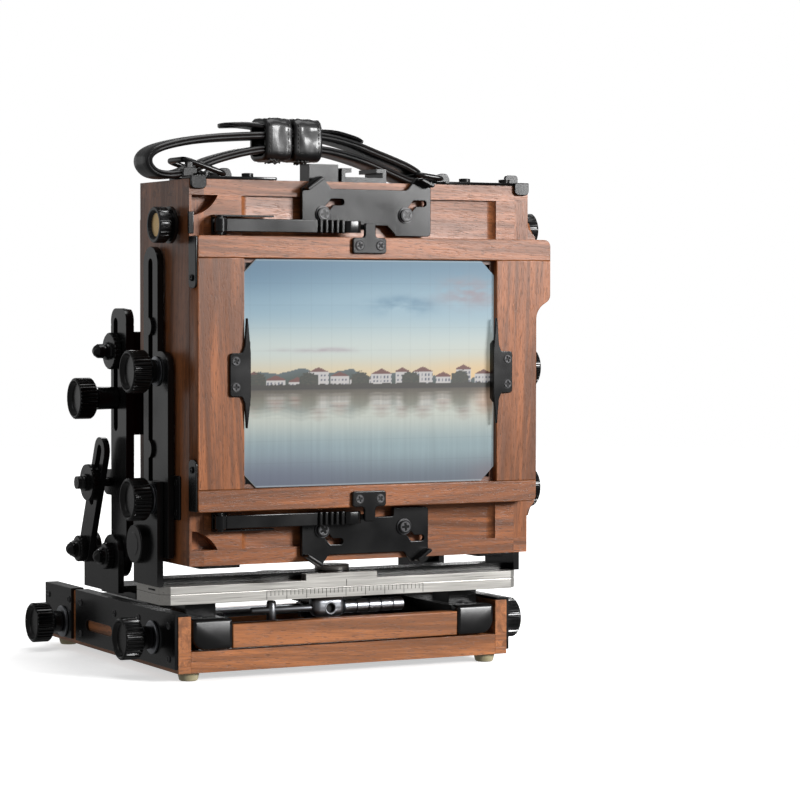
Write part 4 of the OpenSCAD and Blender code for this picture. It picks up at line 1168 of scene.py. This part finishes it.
# ---- the carrying handle
STRAP_MID = -61.5        # middle of the strap, along Y
STRAP_HALF = 8.0
STRAP_LOOP = [(35, 222.4), (30, 224), (23, 226.6), (14, 230), (4, 232.8), (-8, 235.2), (-22, 236),
    (-38, 235.2), (-50, 233.2), (-62, 230), (-71, 226.6), (-79, 223.6), (-86, 222.6), (-92, 223.6),
    (-95.4, 227), (-95, 231), (-90, 234.4), (-79, 237.4), (-66, 239.4), (-52, 240.6), (-38, 241.4),
    (-22, 242), (-8, 241.4), (6, 238.4), (18, 234.4), (28, 231), (35, 228.2), (39, 225.6), (38.6, 223)]


def strap_section(half, thick):
    """Two layers of leather with a groove between them, and rounded edges."""
    t = thick / 2
    right = [(half - 1.2, -t), (half - 0.3, -t * 0.8), (half, -t * 0.4), (half - 0.5, 0), (half, t * 0.4),
        (half - 0.3, t * 0.8), (half - 1.2, t)]
    crown = [(half * 0.4, t * 1.12), (-half * 0.4, t * 1.12)]
    left = [(-u, -v) for u, v in right]
    return right + crown + left + [(-half * 0.4, -t * 1.05), (half * 0.4, -t * 1.05)]


def strap_end(name, points, half, thick):
    """A strip whose far end is rounded."""
    route = curve_through([Vector((x, STRAP_MID, z)) for x, z in points], 8)
    rings = []
    for i, point in enumerate(route):
        ahead = (route[min(i + 1, len(route) - 1)] - route[max(i - 1, 0)]).normalized()
        over = Vector((0, 1, 0)).cross(ahead).normalized()
        left = (route[-1] - point).length
        reach = min(1.0, left / (half * 1.0))
        width = half * math.sqrt(max(0.02, 1 - (1 - reach) ** 2))
        scale = 1.0 if left > 1.2 else 0.72
        rings.append([point + Vector((0, a * width / half, 0)) + over * (b * scale)
            for a, b in strap_section(half, thick)])
    return loft(rings)


def handle_strap():
    route = curve_through([Vector((x, STRAP_MID, z)) for x, z in STRAP_LOOP], 5, True)
    strap = sweep(route, strap_section(STRAP_HALF, 3.5), True, (0, 1, 0))
    tails = [strap_end("tail", [(-30, 244.4), (-38, 245.2), (-48, 246), (-59, 245.4)], 7.6, 2.2),
        strap_end("flap", [(-14, 244.2), (-4, 243.9), (4, 242.2), (13, 239.6)], 7.4, 1.6)]
    add_piece("handle_strap_leather", smooth_sides(joined([strap] + tails), 50), "leather", "rear_box",
        "handle_strap")


def rounded_ring(half_u, half_v, r, n=7):
    """A rounded rectangle about (0, 0), with points along its sides too."""
    outline = fillet([(-half_u, -half_v, r), (half_u, -half_v, r), (half_u, half_v, r), (-half_u,
        half_v, r)], n)
    made = []
    for a, b in zip(outline, outline[1:] + outline[:1]):
        a, b = Vector(a), Vector(b)
        pieces = max(1, round((b - a).length / 1.6))
        made += [a.lerp(b, k / pieces) for k in range(pieces)]
    return made


def sleeve_band(x0, x1, seed):
    """A wide leather keeper that bulges between its turned edges and is creased by use."""
    count = 16
    outline = rounded_ring(9.4, 9.7, 4.6)
    skins = []
    for wall in (1.0, 0.84):
        rings = []
        for i in range(count + 1):
            t = i / count
            edge = min(t, 1 - t) * 2
            swell = 0.93 + 0.07 * min(1.0, edge * 6) ** 0.5 + 0.025 * math.sin(math.pi * t)
            groove = 0.022 if 0.13 < edge < 0.27 else 0.0
            x = x0 + (x1 - x0) * t
            ring = []
            for u, v in outline:
                crease = noise.fractal(Vector((x * 0.16 + seed, u * 0.13, v * 0.2)), 0.8, 2.0, 3,
                    noise_basis="PERLIN_ORIGINAL")
                k = (swell - groove + 0.035 * crease) * wall
                ring.append((x, STRAP_MID + u * k, 239.6 + v * k))
            rings.append(ring)
        skins.append(rings)
    return smooth_sides(loft(skins[0] + skins[1][::-1], True), 55)


def stitch_run(x, z_low, z_high, y):
    """Short stitches up the face of a band."""
    made = []
    z = z_low
    while z < z_high:
        made.append(rounded_box((x - 0.26, y - 0.3, z), (x + 0.26, y + 0.4, z + 1.25), 0.2, 2))
        z += 1.95
    return made


def knot(x, y, z, seed):
    """A ragged loop of waxed thread under the sleeve."""
    points = []
    for k in range(9):
        t = k / 8
        wander = noise.noise_vector(Vector((seed * 3.1 + k * 0.9, 4.2, seed)))
        points.append(Vector((x + 6 * t, y, z)) + Vector((wander.x * 1.5, wander.y * 1.6, wander.z * 1.3)))
    return sweep(curve_through(points, 5), circle(0, 0, 0.42, 8), False, (0.1, 1, 0.2))


def handle_sleeve():
    bands = [(-39.6, -26.6), (-25.4, -11.5)]
    skin = joined([sleeve_band(a, b, 7 * k) for k, (a, b) in enumerate(bands)])
    add_piece("handle_sleeve_leather", skin, "leather", "rear_box", "handle_sleeve")
    threads = []
    for a, b in bands:
        for x in (a + 1.9, b - 1.9):
            threads += stitch_run(x, 233.6, 245.8, STRAP_MID - 9.35)
            threads += stitch_run(x, 233.6, 245.8, STRAP_MID + 9.25)
        for k in range(4):
            threads.append(knot(a + 1.5 + 1.5 * k, STRAP_MID - 7 + 4 * k, 229.9 - 0.3 * (k % 2), k + a))
    add_piece("handle_stitches", smooth_sides(joined(threads)), "thread", "rear_box")


def wire_loop(x_foot, z_foot, x_top, z_top, half, r=1.3):
    """A bent wire ring with rounded corners, standing up from its foot."""
    foot, top = Vector((x_foot, 0, z_foot)), Vector((x_top, 0, z_top))
    length = (top - foot).length
    along = (top - foot).normalized()
    flat = fillet([(0, -half, 3), (length, -half, 3), (length, half, 3), (0, half, 3)], 6)
    route = [foot + along * u + Vector((0, STRAP_MID + v, 0)) for u, v in flat]
    return sweep(route, circle(0, 0, r, 12), True, along.cross(Vector((0, 1, 0))))


def strap_anchors():
    """Screwed plates with folded lugs that hold the wire rings of the handle."""
    parts = []
    for x0, x1, lug in ((-80, -56, -60), (43, 66, 51)):
        outline = fillet([(x0, -70, 1.2), (x1, -70, 3), (x1, -53, 3), (x0, -53, 1.2)])
        parts.append(plate([outline], "Z", 220, 221.5, 0.3))
        for y in (-70.6, -54.4):
            ear = fillet([(lug - 3.4, 221, 0), (lug + 3.4, 221, 0), (lug + 3.4, 223.4, 0), (lug + 2.2,
                226.0, 2.0), (lug - 2.2, 226.0, 2.0), (lug - 3.4, 223.4, 0)])
            parts.append(plate([ear], "Y", y, y + 2, 0.35))
        parts.append(screw((x0 + x1) / 2 - 4, -57.6, 221.5, 223.2, "Z", 2.2, 0.5))
        parts.append(screw((x0 + x1) / 2 - 4, -65.4, 221.5, 223.2, "Z", 2.2, 0.9))
    parts.append(box_mesh((-79.4, -72.6, 221.4), (-76.4, -70, 228.4), 0.5))
    add_piece("handle_anchor_plates", joined(parts), "black_metal", "rear_box", "strap_anchors")
    rings = [wire_loop(-60, 223.3, -79.5, 229.4, 9.8), wire_loop(50.6, 223.6, 37.6, 225.2, 9.8)]
    add_piece("handle_rings", smooth_sides(joined(rings), 60), "black_metal", "rear_box")


# ---- bellows
BELLOWS = [  # depth in millimetres, pleats, and the two bodies that the stretch joins
    (2, 1, "rear_box", "rear_arms"), (9, 4, "rear_arms", "rear_swing"), (7, 3, "rear_swing", "rear_shift"),
    (2, 1, "rear_shift", "rear_tray"), (8, 5, "rear_tray", "base"), (8, 5, "base", "front_tray"),
    (7, 3, "front_tray", "front_swing"), (7, 3, "front_swing", "front_uprights"),
    (2, 1, "front_uprights", "front_frame")]
BELLOWS_START = -60.0
BELLOWS_SKIN = 0.7


def bellows_ring(y, inset):
    """One fold line: a rectangle with small cut corners that tapers towards the front."""
    taper = (y - BELLOWS_START) / 52
    hw, low, high = 75.0 - 1.8 * taper - inset, 61.5 + 2.5 * taper + inset, 206.6 - 2.5 * taper - inset
    cut = 4.0 + inset * 0.6
    corners = [(-hw + cut, low), (hw - cut, low), (hw, low + cut), (hw, high - cut), (hw - cut, high),
        (-hw + cut, high), (-hw, high - cut), (-hw, low + cut)]
    made = []
    for (u0, v0), (u1, v1) in zip(corners, corners[1:] + corners[:1]):
        pieces = 6 if abs(u1 - u0) + abs(v1 - v0) > 20 else 1
        made += [(u0 + (u1 - u0) * k / pieces, y, v0 + (v1 - v0) * k / pieces) for k in range(pieces)]
    return made


def bellows():
    """Nine pleated stretches, one across each joint between the two standards."""
    y = BELLOWS_START
    for index, (depth, pleats, first, second) in enumerate(BELLOWS):
        folds = [y + depth * k / (2 * pleats) for k in range(2 * pleats + 1)]
        outer = [bellows_ring(at, 4.6 if k % 2 else 0.0) for k, at in enumerate(folds)]
        inner = [bellows_ring(at, (4.6 if k % 2 else 0.0) + BELLOWS_SKIN) for k, at in enumerate(folds)]
        mesh = loft(outer + inner[::-1], True)
        mesh.transform(Matrix.Scale(MM, 4))
        piece = bpy.data.objects.new(f"bellows_{index + 1}", mesh)
        bpy.context.scene.collection.objects.link(piece)
        mesh.materials.append(MATERIALS["bellows_cloth"])
        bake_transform(piece)
        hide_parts("bellows")
        y += depth


# ---- fittings of the rear box
def top_latches():
    """Sliding latches: a slotted plate with a rounded hook over the rear edge and a thumb tab."""
    top = fillet([(-85.3, -90.9, 1.2), (-77.7, -90.9, 1.2), (-77.7, -88, 0), (-42, -88, 1.2), (-42, -80,
        1.2), (-85.3, -80, 1.2)])
    slots = [slot_outline((x - 5.2, -84), (x + 0.2, -84), 3.4) for x in (-76, -55)]
    hook = fillet([(-85.3, 215.6, 2.2), (-77.7, 215.6, 2.2), (-77.7, 221.5, 0.3), (-85.3, 221.5, 0.3)])
    tab = fillet([(-84.9, 221.2, 0.3), (-78, 221.2, 0.3), (-78, 225.4, 1.6), (-84.9, 225.4, 1.6)])
    latch = joined([plate([top] + slots, "Z", 220.12, 221.5, 0.3), plate([hook], "Y", -91.1, -89.75, 0.4),
        plate([tab], "Y", -81.4, -80, 0.35)])
    for side, mesh in (("right", mirrored(latch)), ("left", latch)):
        add_piece("top_latch_plate_" + side, mesh, "black_metal", "top_latch_" + side, "top_latch_" + side)
    heads = [screw(sign * x, -84, 221.55, 223.2, "Z", 2.0, 0.3 + x, 2.4) for sign in (-1, 1)
        for x in (76, 55)]
    add_piece("top_latch_screws", joined(heads), "black_screw", "rear_box")


def box_fittings():
    """Studs, shoe and level of the box, with small forks for the spring arms and corner guards."""
    kept = []
    for mesh in cad_solids("box_fittings"):
        low, high = extent(mesh)
        if low.x < -70 and high.x < -70 and low.y < -95:
            bpy.data.meshes.remove(mesh)
        else:
            kept.append(mesh)
    fork = [plate([fillet([(-75.4, -90.4, 0.3), (-71.8, -90.4, 0.3), (-71.8, -98, 1.6), (-75.4, -98,
        1.6)])], "Z", z, z + 0.9, 0.2) for z in (195.6, 202.9)]
    fork.append(box_mesh((-75.2, -91, 195.6), (-68, -89.6, 203.8), 0.3))
    fork.append(box_mesh((-75.2, -94.2, 203.5), (-46.7, -89.8, 204.3), 0.15))
    fork.append(lathe([(0, 0.1), (0, 1.2), (0.2, 1.4), (8.6, 1.4), (8.8, 1.2), (8.8, 0.1)], "Z",
        (-73.8, -97, 195.3), 24))
    upper = joined(fork)
    guard = box_mesh((-86.2, -90.5, 196), (-83.6, -89.4, 205.6), 0.3)
    under = plate([fillet([(-80, -88, 1.5), (-60, -88, 1.5), (-60, -76, 1.5), (-80, -76, 1.5)])], "Z",
        48.1, 49.5, 0.3)
    kept += [upper, mirrored(upper, False), guard, under, mirrored(under)]
    add_piece("box_fittings_set", joined(kept), "black_metal", "rear_box", "box_fittings", bevel=0.25)


def silver_plates():
    """Engraved scale on the lower plate, its index on the upper one, and end slots."""
    lines = []
    for k in range(41):
        x = -40 + 2 * k
        low = 31.2 if k % 5 == 0 else 32.9
        lines.append(box_mesh((x - 0.13, -72.04, low), (x + 0.13, -71.9, 35.2), 0))
    lines.append(box_mesh((-40.1, -72.04, 35.1), (40.1, -71.9, 35.3), 0))
    add_piece("scale_marks", joined(lines), "mark", "rear_tray")
    index = [box_mesh((0.1, -72.04, 35.8), (0.4, -71.9, 38.8), 0)]
    index += [box_mesh((x, -64, 36.8), (x + 0.2, -56, 37.6), 0) for x in (-91.26, 91.06)]
    add_piece("shift_index", joined(index), "mark", "rear_shift")


def shift_lock():
    """The clamp of the sideways shift: a block with a pin hole, and a polished ribbed barrel."""
    bore = lathe([(-3, 0.0), (-3, 2.3), (2.3, 2.3), (2.3, 0.0)], "Y", (-4.1, -64.4, 25), 32)
    block = carved(rounded_box((-12.4, -64.4, 20.8), (3.8, -56, 30.8), 3.4, 6), [bore])
    stem = box_mesh((-11, -63, 28), (3, -56.4, 30.8), 0.4)
    ring = lathe([(0.2, 2.3), (-0.2, 2.4), (-0.2, 2.8), (0.3, 3.1), (0.3, 2.3), (0.2, 2.3)], "Y",
        (-4.1, -64.4, 25), 40)
    add_piece("shift_lock_body", smooth_sides(joined([block, stem, ring]), 50), "steel", "rear_tray",
        "shift_lock_block", slot="nickel")
    # A near-black matte liner in the pin hole: painted shade that darkens the bore.
    hole = lathe([(0.2, 2.28), (0.2, 2.05), (1.9, 2.05), (1.9, 0.01), (2.25, 0.01), (2.25, 2.28),
        (0.2, 2.28)], "Y", (-4.1, -64.4, 25), 32)
    add_piece("shift_lock_hole_shade", hole, "mark", "rear_tray")
    profile = [(3.9, 0.2)]
    for k in range(5):
        x = 4.0 + k * 6.3
        profile += [(x, 2.7), (x + 0.35, 3.2), (x + 5.3, 3.2), (x + 5.65, 2.7)]
    profile += [(35.2, 2.4), (35.2, 0.2)]
    barrel = lathe(profile, "X", (0, -60, 25), 48)
    rod = lathe([(-42.6, 0.2), (-42.6, 1.3), (-42.2, 1.6), (4.0, 1.6), (4.0, 0.2)], "X", (0, -60, 25), 32)
    pin = lathe([(-5.2, 0.4), (-5.2, 1.8), (-4.6, 2.2), (3.6, 2.2), (4.2, 1.8), (4.2, 0.4)], "Z",
        (-32.3, -60, 25), 32)
    add_piece("shift_lock_handle", smooth_sides(joined([barrel, rod, pin]), 40), "steel", "shift_lock",
        "shift_lock_barrel", slot="chrome")


# ---- lens
def lens_fittings():
    """A turned barrel with a threaded mouth, a knurled ring with marks, and pins on the levers."""
    centre = (0, 0, AXIS_Z)
    profile = [(30.2, 19.2), (30.2, 21.4), (30.8, 22), (32.2, 22), (32.6, 21.4), (33.0, 22), (37.4, 22),
        (37.8, 21.4), (38.2, 22), (41.2, 22), (41.9, 21.3), (41.9, 19.9)]
    for k in range(5):
        y = 41.6 - k * 0.8
        profile += [(y, 19.9), (y - 0.3, 19.3), (y - 0.6, 19.9)]
    profile += [(37.4, 19.9), (37.2, 18.6), (36.6, 18.4), (30.2, 18.4)]
    barrel = lathe(profile + [(30.2, 19.2)], "Y", centre, 144, knurl(0.45, 33.0, 37.4))
    add_piece("lens_barrel", smooth_sides(barrel, 30), "black_metal", "front_frame")
    dome = [(34.5, 18.3), (36.9, 18.3)]
    for k in range(1, 13):
        t = k / 12
        dome.append((36.9 + 2.3 * math.sin(t * math.pi / 2), 18.3 * math.cos(t * math.pi / 2) + 0.01))
    add_piece("lens_front_element", smooth_sides(lathe(dome, "Y", centre, 96), 60), "lens_glass",
        "front_frame")
    profile = [(26.3, 25.2), (26.3, 31.5), (26.8, 32), (29.2, 32), (29.6, 31.4), (29.8, 30.6),
        (29.8, 25.2), (26.3, 25.2)]
    ring = lathe(profile, "Y", centre, 192, knurl(0.5, 26.5, 29.4))
    add_piece("speed_ring_knurl", smooth_sides(ring, 30), "black_metal", "speed_ring", "speed_ring")
    marks = []
    for k in range(11):
        mark = box_mesh((26.6, 29.7, -0.22), (29.6 if k % 2 else 30.2, 29.95, 0.22), 0)
        mark.transform(Matrix.Rotation(math.radians(35 + 18 * k), 4, "Y"))
        mark.transform(Matrix.Translation(centre))
        marks.append(mark)
    add_piece("speed_ring_marks", joined(marks), "nickel", "speed_ring")
    for name, angle, reach, y in (("aperture_lever", -90, 37.6, 14), ("cocking_lever", 35, 39.2, 18),
                                  ("release_lever", 150, 39.2, 22)):
        a = math.radians(angle)
        profile = [(-2.3, 0.2), (-2.3, 1.5), (-2.1, 1.7), (2.6, 1.7), (3.0, 1.3), (3.0, 0.2)]
        pin = lathe(profile, "Y", (reach * math.cos(a), y, AXIS_Z + reach * math.sin(a)), 32)
        add_piece(name + "_pin", smooth_sides(pin, 40), "steel", name)
    heads = [screw(x, z, 10.05, 10.7, "Y", 1.7, 0.3 * x + z) for x in (-43, 43) for z in (94.5, 174.5)]
    add_piece("lens_board_screws", joined(heads), "black_screw", "front_frame")


# ---- base fittings
def tray_caps():
    outline = fillet([(57.4, 10, 2), (77, 10, 6.5), (77, 24, 1.5), (57.4, 24, 1.5)], 8)
    cap = plate([outline], "Y", -73.9, -66, 1.7)
    add_piece("tray_corner_caps", smooth_sides(joined([cap, mirrored(cap)]), 40), "black_metal",
        "rear_tray", "tray_caps")


def rubber_feet():
    made = []
    for solid in cad_solids("rubber_feet"):
        low, high = extent(solid)
        bpy.data.meshes.remove(solid)
        centre = ((low.x + high.x) / 2, (low.y + high.y) / 2, low.z)
        r = (high.x - low.x) / 2
        made.append(lathe([(0.35, 0.3), (0.35, 1.2), (0, 1.7), (0, r - 1.4), (0.3, r - 0.9), (1.1, r - 0.6),
            (3.6, r), (4, r), (4, 0.3)], "Z", centre, 40))
    add_piece("foot_pads", smooth_sides(joined(made)), "rubber", "base", "rubber_feet")


def side_fittings():
    """Countersunk screws of the side plates and the strip that guards each rear corner."""
    parts = []
    for y, z in ((-66, 6), (-66, 21), (-30, 6), (-30, 21), (0, 20), (44, 6), (44, 21), (60, 21), (88, 6),
                 (88, 21)):
        parts.append(screw(y, z, -85.3, -86.0, "X", 1.6, 0.3 * y))
    left = joined(parts)
    outline = fillet([(-80.6, 69.4, 1.2), (-73.6, 69.4, 1.2), (-73.6, 89, 1.2), (-80.6, 89, 1.2)])
    plates = [plate([outline], "X", -86.4, -85.4, 0.25), screw(-77, 72.6, -86.3, -87, "X", 1.5), screw(-77,
        85.8, -86.3, -87, "X", 1.5, 0.9)]
    guard = joined(plates)
    add_piece("box_side_brackets", joined([mirrored(guard), guard]), "black_metal", "rear_box")
    add_piece("side_plate_screws", joined([mirrored(left), left]), "black_screw", "base")


def cone_nut(x_base, y, z, tip, left, disc=8.5):
    """A knurled disc nut under a hexagon and a cone tip, from the base outwards."""
    side = "-X" if left else "X"
    x = -x_base if left else x_base
    profile = [(0, 0.2), (0, disc - 0.6), (0.4, disc), (3.0, disc), (3.4, disc - 0.5), (3.5, 4.4),
        (3.9, 4.1), (5.2, 4.0), (5.4, 2.7), (6.2, 2.6), (6.4, 3.4), (tip - 2.4, 3.3), (tip - 0.8, 2.3),
        (tip, 1.1), (tip, 0.2)]
    return smooth_sides(lathe(profile, side, (x, y, z), 96, knurl(0.5, 0.3, 3.1)), 28)


def cone_nuts():
    """Clamp nuts of the struts and of the upper guide studs of the front frame."""
    for name, body, x, y, z, tip, disc in (
            ("strut_nuts", "front_uprights", 89.8, 14.8, 81, 9.0, 8.6),
            ("strut_foot_nuts", "front_swing", 89.8, 28.8, 48.6, 8.6, 6.2),
            ("front_tilt_nuts", "front_swing", 86.3, 3, 47, 8.4, 6.2),
            ("guide_nuts", "front_frame", 83.2, 4, 143, 11.2, 8.6)):
        pair = [cone_nut(x, y, z, tip, left, disc) for left in (True, False)]
        add_piece(name, joined(pair), "black_metal", body)


def tilt_pivots():
    """Stepped cap on the tilt pivot of the rear, each side."""
    caps = [lathe([(0, 0.2), (0, 8.8), (2.6, 8.7), (3.0, 8.2), (3.1, 5.4), (3.4, 5.0), (3.4, 0.2)], side,
        (x, -50, 57), 64) for side, x in (("-X", -92.7), ("X", 92.7))]
    add_piece("tilt_pivot_caps", smooth_sides(joined(caps)), "black_metal", "rear_swing")


make_camera()
make_stage()
base_boards()
rear_box_boards()
rear_face_board()
screen_frame_boards()
front_frame_boards()
front_frame_fittings()
knobs()
film_locks()
screen_lugs()
screen_clips()
spring_arms()
screen_picture()
handle_strap()
handle_sleeve()
strap_anchors()
bellows()
top_latches()
box_fittings()
silver_plates()
shift_lock()
tray_caps()
rubber_feet()
side_fittings()
cone_nuts()
tilt_pivots()
lens_fittings()
dress_cad_nodes()
